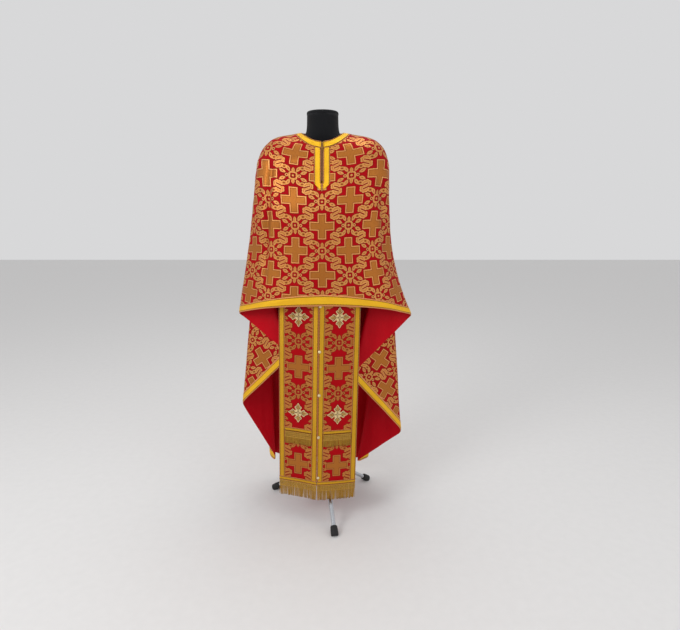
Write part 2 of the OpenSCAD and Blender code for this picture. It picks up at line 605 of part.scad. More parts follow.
tripod_hub();
hub_end_cap();
outer_pole();
pole_bushing();
height_collar();
leg_pivot_pins();
leg(0);  // leg_front
leg(1);  // leg_right
leg(2);  // leg_left
foot(0);  // foot_front
foot(1);  // foot_right
foot(2);  // foot_left
clamp_knob();
mast();
mast_stop_ring();
pole_socket();
socket_screws();
base_plate();
form_shell();
neck_cap();
cape_half(0);  // cape_left_half
cape_half(1);  // cape_right_half
cape_lining(0);  // cape_lining_left
cape_lining(1);  // cape_lining_right
hem_galloon(0);  // hem_galloon_left
hem_galloon(1);  // hem_galloon_right
collar_galloons();
placket_galloon(0);  // placket_galloon_left
placket_galloon(1);  // placket_galloon_right
zip_tapes();
zip_teeth();
zip_slider();
zip_pull();
back_cross();
stole_panel(0);  // stole_left_panel
stole_panel(1);  // stole_right_panel
stole_lining(0);  // stole_left_lining
stole_lining(1);  // stole_right_lining
stole_neck(0);  // stole_neck_left
stole_neck(1);  // stole_neck_right
stole_outer_galloon(0);  // stole_outer_galloon_left
stole_outer_galloon(1);  // stole_outer_galloon_right
stole_inner_galloon(0);  // stole_inner_galloon_left
stole_inner_galloon(1);  // stole_inner_galloon_right
stole_mid_galloons();
stole_mid_fringes();
stole_hem_galloons();
stole_hem_fringes();
stole_crosses();
stole_buttons();
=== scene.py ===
"""A Greek-cut chasuble and its stole on a dress form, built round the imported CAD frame. Metres, +Z up."""
import json
import math
import random
from functools import partialmethod

import bpy
import numpy as np
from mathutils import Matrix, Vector, noise


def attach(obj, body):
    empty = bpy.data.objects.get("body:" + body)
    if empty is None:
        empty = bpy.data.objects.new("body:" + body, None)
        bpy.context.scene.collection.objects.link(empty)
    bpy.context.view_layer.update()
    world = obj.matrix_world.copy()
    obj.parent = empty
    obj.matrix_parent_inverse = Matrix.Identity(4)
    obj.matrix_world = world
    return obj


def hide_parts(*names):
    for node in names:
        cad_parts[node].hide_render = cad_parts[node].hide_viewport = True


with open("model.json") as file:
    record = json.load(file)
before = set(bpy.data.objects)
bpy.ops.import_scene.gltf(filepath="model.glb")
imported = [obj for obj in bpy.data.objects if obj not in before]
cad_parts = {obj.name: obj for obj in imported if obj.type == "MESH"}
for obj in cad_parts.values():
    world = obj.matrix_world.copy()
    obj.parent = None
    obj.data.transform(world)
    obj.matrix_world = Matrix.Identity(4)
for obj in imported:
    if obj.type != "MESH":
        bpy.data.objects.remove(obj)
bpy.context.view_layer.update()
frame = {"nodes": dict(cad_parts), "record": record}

MM = 0.001
ROUND = 2 * math.pi


# ------------------------------------------------------------------ node materials
class Field:
    """A number that varies over a surface: arithmetic on it builds math nodes."""

    def __init__(self, tree, value):
        self.tree = tree
        self.value = value

    def node(self, operation, *others, clamp=False):
        made = self.tree.nodes.new("ShaderNodeMath")
        made.operation = operation
        made.use_clamp = clamp
        for socket, item in zip(made.inputs, (self, *others)):
            raw = item.value if isinstance(item, Field) else item
            if isinstance(raw, (int, float)):
                socket.default_value = raw
            else:
                self.tree.links.new(raw, socket)
        return Field(self.tree, made.outputs[0])

    def __rsub__(self, other):
        return Field(self.tree, other).node("SUBTRACT", self)

    __add__ = __radd__ = partialmethod(node, "ADD")
    __sub__ = partialmethod(node, "SUBTRACT")
    __mul__ = __rmul__ = partialmethod(node, "MULTIPLY")
    __truediv__ = partialmethod(node, "DIVIDE")
    __neg__ = partialmethod(node, "MULTIPLY", -1)
    __abs__ = partialmethod(node, "ABSOLUTE")
    low = partialmethod(node, "MINIMUM")
    high = partialmethod(node, "MAXIMUM")
    above = partialmethod(node, "GREATER_THAN")
    below = partialmethod(node, "LESS_THAN")
    power = partialmethod(node, "POWER")
    sin = partialmethod(node, "SINE")
    turn_from = partialmethod(node, "ARCTAN2")

    def wrap(self, low, high):
        return self.node("WRAP", high, low)

    def wave(self, pitch):
        """Waves from 0 to 1, as far apart as pitch."""
        return (self * (ROUND / pitch)).sin() * 0.5 + 0.5

    def inside(self, soft=0.6):
        """1 where this distance is below zero, 0 above, over a soft edge as wide as soft."""
        return (self * (-1 / soft)).node("ADD", 0.5, clamp=True)


def length(x, y):
    return (x * x + y * y).power(0.5)


def choose(where, yes, no):
    return yes * where + no * (1 - where)


class Material:
    """A procedural material: a Principled shader, with helpers that add nodes to it."""

    def __init__(self, name, **uniform):
        self.material = bpy.data.materials.new(name)
        self.material.use_nodes = True
        self.tree = self.material.node_tree
        self.shader = self.tree.nodes["Principled BSDF"]
        for socket, value in uniform.items():
            self.shader.inputs[socket.replace("_", " ")].default_value = value

    def add(self, kind, **settings):
        node = self.tree.nodes.new(kind)
        for key, value in settings.items():
            setattr(node, key, value)
        return node

    def field(self, value):
        return Field(self.tree, value)

    def position(self):
        """Object coordinates in millimetres: three fields."""
        split = self.add("ShaderNodeSeparateXYZ")
        self.tree.links.new(self.add("ShaderNodeTexCoord").outputs["Object"], split.inputs[0])
        return [self.field(output) * 1000 for output in split.outputs]

    def cloth(self):
        """Millimetres across and along the flat cloth: two fields, from the mesh's cloth attribute."""
        split = self.add("ShaderNodeSeparateXYZ")
        source = self.add("ShaderNodeAttribute", attribute_name="cloth")
        self.tree.links.new(source.outputs["Vector"], split.inputs[0])
        return [self.field(output) * 1000 for output in split.outputs[:2]]

    def noise(self, scale, detail, roughness=0.5, stretch=None):
        """Noise of about scale features a metre: a field from 0 to 1."""
        texture = self.add("ShaderNodeTexNoise")
        texture.inputs["Scale"].default_value = scale
        texture.inputs["Detail"].default_value = detail
        texture.inputs["Roughness"].default_value = roughness
        vector = self.add("ShaderNodeTexCoord").outputs["Object"]
        if stretch is not None:
            mapping = self.add("ShaderNodeMapping")
            mapping.inputs["Scale"].default_value = stretch
            self.tree.links.new(vector, mapping.inputs["Vector"])
            vector = mapping.outputs[0]
        self.tree.links.new(vector, texture.inputs["Vector"])
        return self.field(texture.outputs[0])

    def mix(self, where, no, yes):
        """A colour between no and yes: each is a colour or the output of another mix."""
        node = self.add("ShaderNodeMix", data_type="RGBA")
        self.tree.links.new(where.value, node.inputs[0])
        for socket, colour in ((node.inputs[6], no), (node.inputs[7], yes)):
            if isinstance(colour, tuple):
                socket.default_value = (*colour, 1)
            else:
                self.tree.links.new(colour, socket)
        return node.outputs[2]

    def link(self, field, socket):
        self.tree.links.new(field.value if isinstance(field, Field) else field, self.shader.inputs[socket])

    def bump(self, height, distance, strength=1.0):
        """Bump from a height field from 0 to 1, distance metres high."""
        node = self.add("ShaderNodeBump")
        node.inputs["Strength"].default_value = strength
        node.inputs["Distance"].default_value = distance
        self.tree.links.new(height.value, node.inputs["Height"])
        self.tree.links.new(node.outputs[0], self.shader.inputs["Normal"])

    def finished(self, colour, roughness, height, distance, strength, metallic=None):
        """The material, once its colour, its roughness, its bump and any varying metal are linked."""
        self.link(colour, "Base Color")
        self.link(roughness, "Roughness")
        if metallic is not None:
            self.link(metallic, "Metallic")
        self.bump(height, distance, strength)
        return self.material


def rgb(red, green, blue):
    """A colour given in the usual 0 to 255 steps, as linear light."""
    steps = [value / 255 for value in (red, green, blue)]
    return tuple(v / 12.92 if v <= 0.04045 else ((v + 0.055) / 1.055) ** 2.4 for v in steps)


def between(one, other, t):
    return tuple(a + (b - a) * t for a, b in zip(one, other))


RUBY = rgb(160, 0, 10)
RUBY_DARK = rgb(70, 0, 4)
LIGHT_GOLD = rgb(228, 168, 98)
MID_GOLD = rgb(196, 132, 62)
BRONZE = rgb(168, 96, 38)
CAPE_HALF_REPEAT, STOLE_HALF_REPEAT = (98.5, 86), (88, 101.5)     # half the weave's repeat, across and along, in mm


def leaf(x, y, centre, angle, half_l, half_w):
    """Distance outside an almond leaf that lies at an angle in degrees."""
    c, s = math.cos(math.radians(angle)), math.sin(math.radians(angle))
    dx, dy = x - centre[0], y - centre[1]
    along = dx * c + dy * s
    across = abs(dy * c - dx * s)
    return across - half_w + along * along * (half_w / half_l ** 2)


def brocade_shapes(x, y, half_a, half_b):
    """Signed distances, in mm, of the woven figures: the crosses and all the small ornaments."""
    x = abs(x.wrap(-half_a, half_a))
    y = abs(y.wrap(-half_b, half_b))
    far = (x * (1 / half_a) + y * (1 / half_b)).above(1.0)
    x = choose(far, half_a - x, x)
    y = choose(far, half_b - y, y)
    # A cross with a wide arm along each axis, at the corner of the cell.
    arm, reach = 15.0, 45.0
    upright = (x - arm).high(y - reach)
    level = (x - reach).high(y - arm)
    cross = upright.low(level)
    # The rosettes stand at the other two corners.
    right = (half_a - x, y)
    top = (x, half_b - y)
    near_right = (right[0] - top[0] + (right[1] - top[1])).below(0.0)
    u = choose(near_right, right[0], top[0])
    v = choose(near_right, right[1], top[1])
    ring = abs(length(u, v) - 11.5 - u * v / (u * u + v * v + 0.01) * 5.0) - 2.9
    heart = length(u, v) - 3.8
    petal = leaf(u, v, (0, 20.5), 90, 9.5, 5.6)
    steep_leaf, flat_leaf = ((17, 24.5), 62), ((36, 13), 24)
    steep = leaf(u, v, *steep_leaf, 12.0, 6.0)
    flat = leaf(u, v, *flat_leaf, 12.5, 6.0)
    side = abs(length(u - 21.0, v) - 4.2) - 1.5
    rosette = ring.low(heart).low(petal).low(steep).low(flat).low(side)
    slits = leaf(u, v, *steep_leaf, 5.0, 1.1).low(leaf(u, v, *flat_leaf, 5.0, 1.1))
    # Beads and scalloped scrolls lie along the slanting line between rosettes.
    bx, by = u - 30.5, v - 29.5
    bead = length(bx * 0.74, by) - 7.4
    dx, dy = x - half_a / 2, y - half_b / 2
    turn = dy.above(0.0) * 2 - 1
    sx, sy = dx * turn - 3.0, dy * turn - 8.4
    scallop = abs((sy.turn_from(sx) * 3.5).sin()) * 2.2
    outer = length(sx * 0.84, sy) - 12.6 - scallop
    slot = (abs(sy - sx * 0.4 + 0.6) - 2.1).high(sx - 5.5)
    curl = abs(length(sx * 0.82, sy) - 8.6) - 0.7
    scroll = outer.high(-slot)
    return cross, rosette.low(bead).high(-slits), scroll, bead, curl


def brocade(name, half_a, half_b, bare=(), shade_and_tarnish=0.0):
    """Red satin ground with woven metal figures, whose gold the last argument darkens towards bronze: painted shade,
    for cloth in the cape's shadow.

    bare lists the heights, in the flat cloth, of crosses left out.
    """
    m = Material(name, Specular_IOR_Level=0.08, Anisotropic=0.4)
    across, along = m.cloth()
    wobble = (m.noise(260, 1) - 0.5) * 1.0
    x, y = across + wobble, along + wobble
    cross, ornament, scroll, bead, curl = brocade_shapes(x, y, half_a, half_b)
    for height in bare:
        cross = cross + (60 - abs(along - height)).above(0.0) * 100
    shapes = cross.low(ornament).low(scroll)
    mask = shapes.inside(0.9)
    halo = (shapes - 1.6).inside(1.2)
    cross_core = (cross + 3.9).inside(0.9)
    cross_line = (abs(cross + 4.4) - 0.7).inside(0.8)
    ornament_core = (ornament + 1.7).inside(0.8)
    scroll_core = (scroll + 2.4).inside(0.9)
    curl_line = curl.inside(0.7) * scroll_core
    bead_eye = (bead + 4.4).inside(0.8)
    patchy = m.noise(9, 3, 0.55)
    threads, picks, ribs = across.wave(1.3), along.wave(0.9), across.wave(4.6)
    ground = m.mix(patchy, RUBY, rgb(190, 0, 16))
    ground = m.mix(threads * 0.28, ground, RUBY_DARK)
    # painted shade: on the stole the gold and the ornament fill are darkened towards bronze and dark red, standing
    # for the cape's shadow
    gold = m.mix(patchy, between(LIGHT_GOLD, BRONZE, shade_and_tarnish), between(rgb(214, 136, 78), BRONZE, shade_and_tarnish))
    fill = m.mix(ribs * 0.4 + threads * 0.2, BRONZE, MID_GOLD)
    ornament_fill = m.mix(threads * 0.5, between(MID_GOLD, BRONZE, shade_and_tarnish), between(BRONZE, RUBY_DARK, shade_and_tarnish / 2))
    cloth = m.mix(halo * 0.75, ground, RUBY_DARK)
    cloth = m.mix(mask, cloth, gold)
    cloth = m.mix(cross_core, cloth, fill)
    cloth = m.mix(cross_line * 0.85, cloth, rgb(96, 30, 20))
    cloth = m.mix(ornament_core * 0.8, cloth, ornament_fill)
    cloth = m.mix(bead_eye * 0.8, cloth, rgb(110, 12, 14))
    cloth = m.mix(scroll_core * 0.65, cloth, MID_GOLD)
    cloth = m.mix(curl_line * 0.6, cloth, rgb(150, 48, 30))
    raised = mask * 0.5 + cross_core * 0.12 - cross_line * 0.3
    height = raised + threads * 0.16 + picks * 0.12 + ribs * cross_core * 0.1
    return m.finished(cloth, 0.5 - mask * 0.16 + threads * 0.06, height, 0.0007, 0.8, mask * 0.7)


def galloon(name, width, light=rgb(250, 200, 44), dark=rgb(222, 158, 22)):
    """Woven metal braid: a satin band between dotted lines, with pale cords outside them. across runs 0 to width."""
    m = Material(name, Specular_IOR_Level=0.3, Anisotropic=0.35)
    across, along = m.cloth()
    edge = width / 2 - abs(across - width / 2)
    line, cord_w = (2.6, 1.4) if width < 30 else (7.2, 4.6)
    band, rim = (line - edge).inside(0.8), (edge - cord_w).inside(0.8)
    twill, picks = (along + across * 0.8).wave(1.5), along.wave(0.8)
    centre = m.mix(m.noise(14, 3) * 0.6 + twill * 0.25, light, dark)
    cord = m.mix(picks * 0.6, rgb(236, 166, 110), rgb(206, 112, 70))
    border = m.mix(picks * 0.5, rgb(222, 158, 40), rgb(182, 112, 26))
    beat = abs(along.wrap(-2.8, 2.8)) - 2.0
    dots = beat.high(abs(edge - line) - 1.3).inside(0.6)
    colour = m.mix(dots, m.mix(band, m.mix(rim, border, cord), centre), rgb(70, 16, 8))
    height = twill * 0.3 + picks * 0.25 - dots * 0.6 + rim * 0.6
    return m.finished(colour, 0.38 + twill * 0.08, height, 0.0006, 0.8, 0.55 + band * 0.1)


def satin(name):
    """Smooth red lining satin."""
    m = Material(name, Specular_IOR_Level=0.1, Anisotropic=0.3)
    across, along = m.cloth()
    soft = m.noise(5, 4, 0.55)
    fine = m.noise(60, 2, stretch=(1, 1, 0.15))
    colour = m.mix(soft, rgb(204, 0, 26), rgb(176, 0, 16))
    height = soft * 2.2 + fine * 0.5 + (across + along).wave(0.9) * 0.05
    return m.finished(colour, 0.38 + fine * 0.1, height, 0.003, 0.6)


def fringe_thread(name, dark, light):
    """Twisted metal thread."""
    m = Material(name, Metallic=0.45)
    x, _, z = m.position()
    twist = (z + x * 0.7).wave(1.6)
    colour = m.mix(m.noise(420, 1, stretch=(1, 1, 0.05)), dark, light)
    return m.finished(colour, 0.4 + twist * 0.15, twist, 0.0003, 0.7)


def embroidery(name, dark, light, metallic):
    """Laid metal thread, in fine close stitches."""
    m = Material(name, Metallic=metallic)
    x, _, z = m.position()
    stitches = (x + z * 0.6).wave(0.8)
    colour = m.mix(m.noise(180, 2) * 0.6 + stitches * 0.3, dark, light)
    return m.finished(colour, 0.34 + stitches * 0.14, stitches, 0.0003, 0.7)


def jersey(name):
    """Black knitted cover of the form."""
    m = Material(name, Specular_IOR_Level=0.25, Sheen_Weight=0.05, Sheen_Roughness=0.5)
    x, y, z = m.position()
    wales = (y.turn_from(x) * 190).sin() * 0.5 + 0.5
    knit = wales * (z + wales * 0.5).wave(1.4)
    lint = m.noise(520, 2)
    colour = m.mix(lint * 0.35 + knit * 0.2, rgb(6, 7, 10), rgb(26, 27, 32))
    return m.finished(colour, 0.8 + lint * 0.12, knit + lint * 0.3, 0.0004, 0.7)


def chrome(name):
    """Chromed tube with faint drawing marks and smudges."""
    m = Material(name, Metallic=1.0)
    marks, smudge = m.noise(240, 2, stretch=(1, 1, 0.1)), m.noise(22, 3)
    colour = m.mix(smudge, rgb(206, 208, 212), rgb(178, 181, 186))
    return m.finished(colour, 0.1 + smudge * 0.1 + marks * 0.05, marks, 0.00004, 0.5)


def moulded(name, colour, roughness, grain=900.0, height=0.00015):
    """Moulded plastic or rubber with a fine spark-eroded grain and scuffed high spots."""
    m = Material(name)
    scuffs = m.noise(45, 4, 0.7)
    worn = tuple(min(1.0, c * 2.6 + 0.02) for c in colour)
    patches = m.mix((scuffs - 0.55).high(0.0) * 1.8, colour, worn)
    return m.finished(patches, roughness + scuffs * 0.15, m.noise(grain, 2), height, 0.6)


def plywood(name):
    """Edge-laminated board."""
    m = Material(name)
    z = m.position()[2]
    grain = m.noise(30, 4, stretch=(0.12, 1, 1))
    colour = m.mix(grain * 0.6 + z.wave(2.8) * 0.3, rgb(196, 158, 112), rgb(140, 98, 60))
    return m.finished(colour, 0.55 + grain * 0.2, grain, 0.0003, 0.4)


def metal(name, dark, light):
    """Cast brass-coloured metal with tarnish in its low spots."""
    m = Material(name, Metallic=1.0)
    shade_and_tarnish = m.noise(120, 3)
    return m.finished(m.mix(shade_and_tarnish, light, dark), 0.24 + shade_and_tarnish * 0.2, m.noise(700, 2), 0.00006, 0.5)


def zip_weave(name):
    """Woven zip tape, mauve brown."""
    m = Material(name)
    x, _, z = m.position()
    weave = (x * (ROUND / 0.7)).sin() * (z * (ROUND / 0.9)).sin() * 0.5 + 0.5
    colour = m.mix(weave, rgb(120, 72, 66), rgb(158, 104, 92))
    return m.finished(colour, 0.7 + weave * 0.1, weave, 0.0003, 0.7)


# ------------------------------------------------------------------ mesh helpers
def new_object(name, points, faces, material, smooth=True):
    mesh = bpy.data.meshes.new(name)
    mesh.from_pydata([tuple(p) for p in points], [], faces)
    mesh.update()
    made = bpy.data.objects.new(name, mesh)
    bpy.context.scene.collection.objects.link(made)
    mesh.materials.append(material)
    if smooth:
        mesh.shade_smooth()
    return made


def set_cloth(obj, across_along):
    """Stores where each vertex lies in the flat cloth, in metres."""
    layer = obj.data.attributes.new("cloth", "FLOAT_VECTOR", "POINT")
    flat = np.zeros((len(obj.data.vertices), 3))
    flat[:, :2] = across_along
    layer.data.foreach_set("vector", flat.ravel())


def nowhere(row, column):
    return False


def grid_faces(rows, columns, skip=nowhere):
    return [(r * columns + c, r * columns + c + 1, (r + 1) * columns + c + 1, (r + 1) * columns + c)
            for r in range(rows - 1) for c in range(columns - 1) if not skip(r, c)]


def grid_normals(points):
    """Unit normals of a grid of points."""
    down = np.gradient(points, axis=0)
    across = np.gradient(points, axis=1)
    normal = np.cross(down, across)
    return normal / np.linalg.norm(normal, axis=2, keepdims=True).clip(1e-12)


def cloth_shell(name, points, normals, low, high, flat, material, skip=nowhere):
    """A closed thin shell on a grid of points, between two offsets along the normals."""
    rows, columns = points.shape[:2]
    top = (points + normals * high).reshape(-1, 3)
    bottom = (points + normals * low).reshape(-1, 3)
    count = rows * columns
    face_list = grid_faces(rows, columns, skip)
    edges = {edge: True for face in face_list for edge in zip(face, face[1:] + face[:1])}
    rim = [(a, b) for a, b in edges if (b, a) not in edges]
    faces = list(face_list)
    faces += [tuple(count + k for k in reversed(face)) for face in face_list]
    faces += [(b, a, count + a, count + b) for a, b in rim]
    used = sorted({k for face in faces for k in face})
    place = {k: n for n, k in enumerate(used)}
    both = np.vstack([top, bottom])[used]
    made = new_object(name, both, [tuple(place[k] for k in face) for face in faces], material)
    set_cloth(made, np.vstack([flat.reshape(-1, 2)] * 2)[used])
    return made


def ring_faces(rings, sides, closed=False):
    """Faces between rings of points, each with the same number of sides. closed joins the last ring to the first."""
    return [(r * sides + k, r * sides + (k + 1) % sides, (r + 1) % rings * sides + (k + 1) % sides,
             (r + 1) % rings * sides + k) for r in range(rings if closed else rings - 1) for k in range(sides)]


def end_faces(rings, sides):
    return [tuple(reversed(range(sides))), tuple(range((rings - 1) * sides, rings * sides))]


def tube(path, radius, sides=6, closed=False):
    """Vertices and faces of a tube along a path of points."""
    path = [Vector(p) for p in path]
    count = len(path)
    angles = [ROUND * s / sides for s in range(sides)]
    points = []
    normal = None
    for k, point in enumerate(path):
        ahead = path[(k + 1) % count] if closed else path[min(count - 1, k + 1)]
        behind = path[k - 1] if closed or k else path[0]
        tangent = (ahead - behind).normalized()
        if normal is None:
            normal = tangent.orthogonal().normalized()
        normal = (normal - tangent * normal.dot(tangent)).normalized()
        side = tangent.cross(normal)
        points += [point + normal * (radius * math.cos(a)) + side * (radius * math.sin(a)) for a in angles]
    return points, ring_faces(count, sides, closed) + ([] if closed else end_faces(count, sides))


def joined(name, shapes, material, smooth=True):
    """One object from a list of (points, faces)."""
    points, faces = [], []
    for more_points, more_faces in shapes:
        base = len(points)
        points += more_points
        faces += [tuple(base + k for k in face) for face in more_faces]
    return new_object(name, points, faces, material, smooth)


def on_form(piece, slot, *nodes):
    """Lets a piece ride on the form and hides the CAD nodes that it stands for; slot is not used."""
    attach(piece, "form")
    if nodes:
        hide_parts(*nodes)
    return piece


def arc2(a, b, c, t):
    return (1 - t) ** 2 * a + 2 * t * (1 - t) * b + t ** 2 * c


def mix(a, b, t):
    return a + (b - a) * t


def clamp01(t):
    return np.clip(t, 0.0, 1.0)


# ------------------------------------------------------------------ the cape's surface
# The same thirteen ribs a side as the CAD cape: angle at the neck, angle at the shoulder, waist point,
# hem point, and how far the fold's rounding reaches, in millimetres and degrees.
WIDE = 200
FRONT_HEM_Z, BACK_HEM_Z = 905, 92
RIBS = {
    "left": [
        (0, 0, (0, -166, 1080), (0, -170, FRONT_HEM_Z), WIDE),
        (25, 24, (110, -158, 1080), (115, -172, FRONT_HEM_Z - 2), WIDE),
        (48, 46, (212, -117, 1080), (228, -140, 890), WIDE),
        (66, 66, (292, -32, 1080), (338, -42, 852), 14),
        (72, 72, (290, -12, 1075), (338, -18, 846), 14),
        (80, 80, (243, 2, 1070), (128, -97, 694), 14),
        (86, 88, (243, 22, 1060), (128, -71, 682), 14),
        (94, 96, (280, 42, 1055), (354, 12, 446), 14),
        (100, 103, (282, 62, 1050), (352, 36, 432), 14),
        (114, 116, (238, 100, 1045), (208, 118, 104), 45),
        (130, 133, (222, 142, 1045), (288, 180, 150), 60),
        (155, 157, (118, 152, 1045), (110, 170, 94), WIDE),
        (180, 180, (0, 172, 1045), (0, 235, BACK_HEM_Z), WIDE)],
    "right": [
        (0, 0, (0, -166, 1080), (0, -170, FRONT_HEM_Z), WIDE),
        (25, 24, (110, -158, 1080), (115, -172, FRONT_HEM_Z - 2), WIDE),
        (48, 46, (205, -115, 1080), (236, -138, 888), WIDE),
        (66, 66, (261, -32, 1080), (350, -42, 844), 14),
        (72, 72, (259, -12, 1075), (350, -18, 838), 14),
        (80, 80, (218, 2, 1070), (107, -97, 612), 14),
        (86, 88, (218, 22, 1060), (107, -71, 596), 14),
        (94, 96, (262, 42, 1055), (334, 18, 318), 14),
        (100, 103, (264, 62, 1050), (332, 42, 302), 14),
        (114, 116, (232, 100, 1045), (122, 122, 104), 45),
        (130, 133, (220, 142, 1045), (236, 205, 104), 60),
        (155, 157, (118, 152, 1045), (105, 168, 94), WIDE),
        (180, 180, (0, 172, 1045), (0, 235, BACK_HEM_Z), WIDE)]}
NECK_FRONT = np.array([0, -85.0, 1486])
CHEST_FRONT = np.array([0, -158.0, 1262])
SHOULDER_FRONT = (NECK_FRONT + CHEST_FRONT) / 2
NECK_HALF_W, NECK_SIDE_Z, NECK_BACK = 78, 1524, (70, 1533)
SHOULDER_HALF_W = {"left": 225, "right": 236}
SHOULDER_SIDE_Z = {"left": 1503, "right": 1500}
SHOULDER_BACK = (112, 1478)
CHEST_HALF_W = {"left": 264, "right": 255}
CHEST_SIDE_Z, CHEST_BACK_Y = 1330, 150
SLIT_HALF_W, SLIT_L = 4, 153
COLLAR_W, HEM_W = 25, 43
SIDES = ("left", "right")
SIGN = {"left": -1, "right": 1}


def oval(half_w, depth, angle, power):
    s, c = math.sin(math.radians(angle)), math.cos(math.radians(angle))
    return half_w * abs(s) ** power, -math.copysign(depth * abs(c) ** power, c)


def rib_line(side, rib):
    """The rib's five points: neck, shoulder, chest, waist and hem."""
    neck, shoulder = rib[0], rib[1]
    s_neck, s_shoulder = math.sin(math.radians(neck)), math.sin(math.radians(shoulder))
    front = neck < 90
    n = oval(NECK_HALF_W, -NECK_FRONT[1] if front else NECK_BACK[0], neck, 1)
    n_z = mix(NECK_FRONT[2] if front else NECK_BACK[1], NECK_SIDE_Z, s_neck ** 2)
    front = shoulder < 90
    s = oval(SHOULDER_HALF_W[side], -SHOULDER_FRONT[1] if front else SHOULDER_BACK[0], shoulder, 0.77)
    s_z = mix(SHOULDER_FRONT[2] if front else SHOULDER_BACK[1], SHOULDER_SIDE_Z[side], s_shoulder ** 1.2)
    c = oval(CHEST_HALF_W[side], -CHEST_FRONT[1] if front else CHEST_BACK_Y, shoulder, 0.77)
    c_z = mix(CHEST_FRONT[2], CHEST_SIDE_Z, s_shoulder ** 2) if front else CHEST_SIDE_Z
    return np.array([(*n, n_z), (*s, s_z), (*c, c_z), rib[2], rib[3]], dtype=float)


def rib_curve(line, levels, number):
    """The rib at each level: straight from point to point, rounded at the shoulder, the chest and the waist."""
    points = []
    last = len(line) - 1
    for level in levels:
        k = min(last, max(0, int(level + 0.5)))
        v = level - k
        f = 0.2 + 0.1 * number if k == 2 and number < 2 else 0.5
        p, above, below = line[k], line[max(0, k - 1)], line[min(last, k + 1)]
        if v < -f or k == last:
            points.append(mix(p, above, -v))
        elif v > f or k == 0:
            points.append(mix(p, below, v))
        else:
            points.append(arc2(mix(p, above, f), p, mix(p, below, f), (v + f) / (2 * f)))
    return np.array(points)


def towards(here, other, reach):
    """Points that lie reach millimetres from here towards other, and at most 0.45 of the way."""
    return mix(here, other, np.minimum(0.45, reach / np.linalg.norm(here - other, axis=1))[:, None])


def rib_span(number, count):
    """The part of a rib's rounding that a half has: the ribs on the two seams give half of theirs."""
    return (0.5 if number == 0 else 0.0), (0.5 if number == count - 1 else 1.0)


def cape_half(side, levels, steps):
    """A grid of points of one half in the CAD's own form, towards +X: rows are levels, columns go round."""
    ribs = RIBS[side]
    curves = [rib_curve(rib_line(side, rib), levels, number) for number, rib in enumerate(ribs)]
    flip = np.array([-1.0, 1, 1])
    curves = [curves[1] * flip, *curves, curves[-2] * flip]
    columns = []
    for number, rib in enumerate(ribs):
        before, here, after = curves[number], curves[number + 1], curves[number + 2]
        start, end = towards(here, before, rib[4]), towards(here, after, rib[4])
        first, last = rib_span(number, len(ribs))
        columns += [arc2(start, here, end, t) for t in np.linspace(first, last, steps + 1)]
        if last == 1.0:
            next_start = towards(after, here, ribs[number + 1][4])
            columns += [mix(end, next_start, t) for t in np.linspace(0, 1, steps + 1)[1:-1]]
    return np.stack(columns, axis=1)


def row_lengths(grid):
    gaps = np.linalg.norm(np.diff(grid, axis=1), axis=2)
    return np.hstack([np.zeros((grid.shape[0], 1)), np.cumsum(gaps, axis=1)])


def column_lengths(grid):
    gaps = np.linalg.norm(np.diff(grid, axis=0), axis=2)
    return np.vstack([np.zeros((1, grid.shape[1])), np.cumsum(gaps, axis=0)])


def resampled(points, count, axis):
    """The grid with its points spread evenly by length along an axis."""
    points = np.moveaxis(points, axis, 0)
    along = column_lengths(points)
    along /= along[-1]
    target = np.linspace(0, 1, count)
    out = np.empty((count, *points.shape[1:]))
    for column in range(points.shape[1]):
        for k in range(3):
            out[:, column, k] = np.interp(target, along[:, column], points[:, column, k])
    return np.moveaxis(out, 0, axis)


HEM_ROWS, COLLAR_ROWS = 7, 5
BODY_ROWS = 110
HALF_COLUMNS = 190
MIDDLE = HALF_COLUMNS - 1       # the column down the front's middle


def cut_rows(points):
    """Rows of equal length inside the collar band, the body and the hem band of every column."""
    along = column_lengths(points)
    rows = []
    for column in range(points.shape[1]):
        full = along[-1, column]
        stations = np.concatenate([
            np.linspace(0, COLLAR_W, COLLAR_ROWS)[:-1],
            np.linspace(COLLAR_W, full - HEM_W, BODY_ROWS)[:-1],
            np.linspace(full - HEM_W, full, HEM_ROWS)])
        rows.append([np.interp(stations, along[:, column], points[:, column, k]) for k in range(3)])
    return np.array(rows).transpose(2, 0, 1)


def relaxed(points, passes):
    """Evens out creases by averaging with the neighbours along each row and column."""
    smooth = points.copy()
    for _ in range(passes):
        inner = smooth[1:-1, 1:-1]
        average = (smooth[:-2, 1:-1] + smooth[2:, 1:-1] + smooth[1:-1, :-2] + smooth[1:-1, 2:]) / 4
        smooth[1:-1, 1:-1] = mix(inner, average, 0.5)
        smooth[-1, 1:-1] = mix(smooth[-1, 1:-1], (smooth[-1, :-2] + smooth[-1, 2:]) / 2, 0.5)
    return smooth


def soft_noise(points, scale, seed):
    """Smooth noise from -1 to 1 at each point of a grid, scale in features a metre for x, y and z."""
    flat = points.reshape(-1, 3)
    values = [noise.noise(Vector((p[0] * scale[0] + seed, p[1] * scale[1], p[2] * scale[2]))) for p in flat]
    return np.array(values).reshape(points.shape[:2])


def crease(grid, top, foot, width, depth):
    """A soft valley down the front of the cape, from the point top to the point foot: each (x, z), in metres."""
    x, y, z = grid[..., 0], grid[..., 1], grid[..., 2]
    t = (top[1] - z) / (top[1] - foot[1])
    middle = mix(top[0], foot[0], t)
    fade = clamp01(t / 0.18) * clamp01((1 - t) / 0.3) * (y < 0.02) * (z > 0.93)
    return -depth * np.exp(-((x - middle) / width) ** 2) * fade


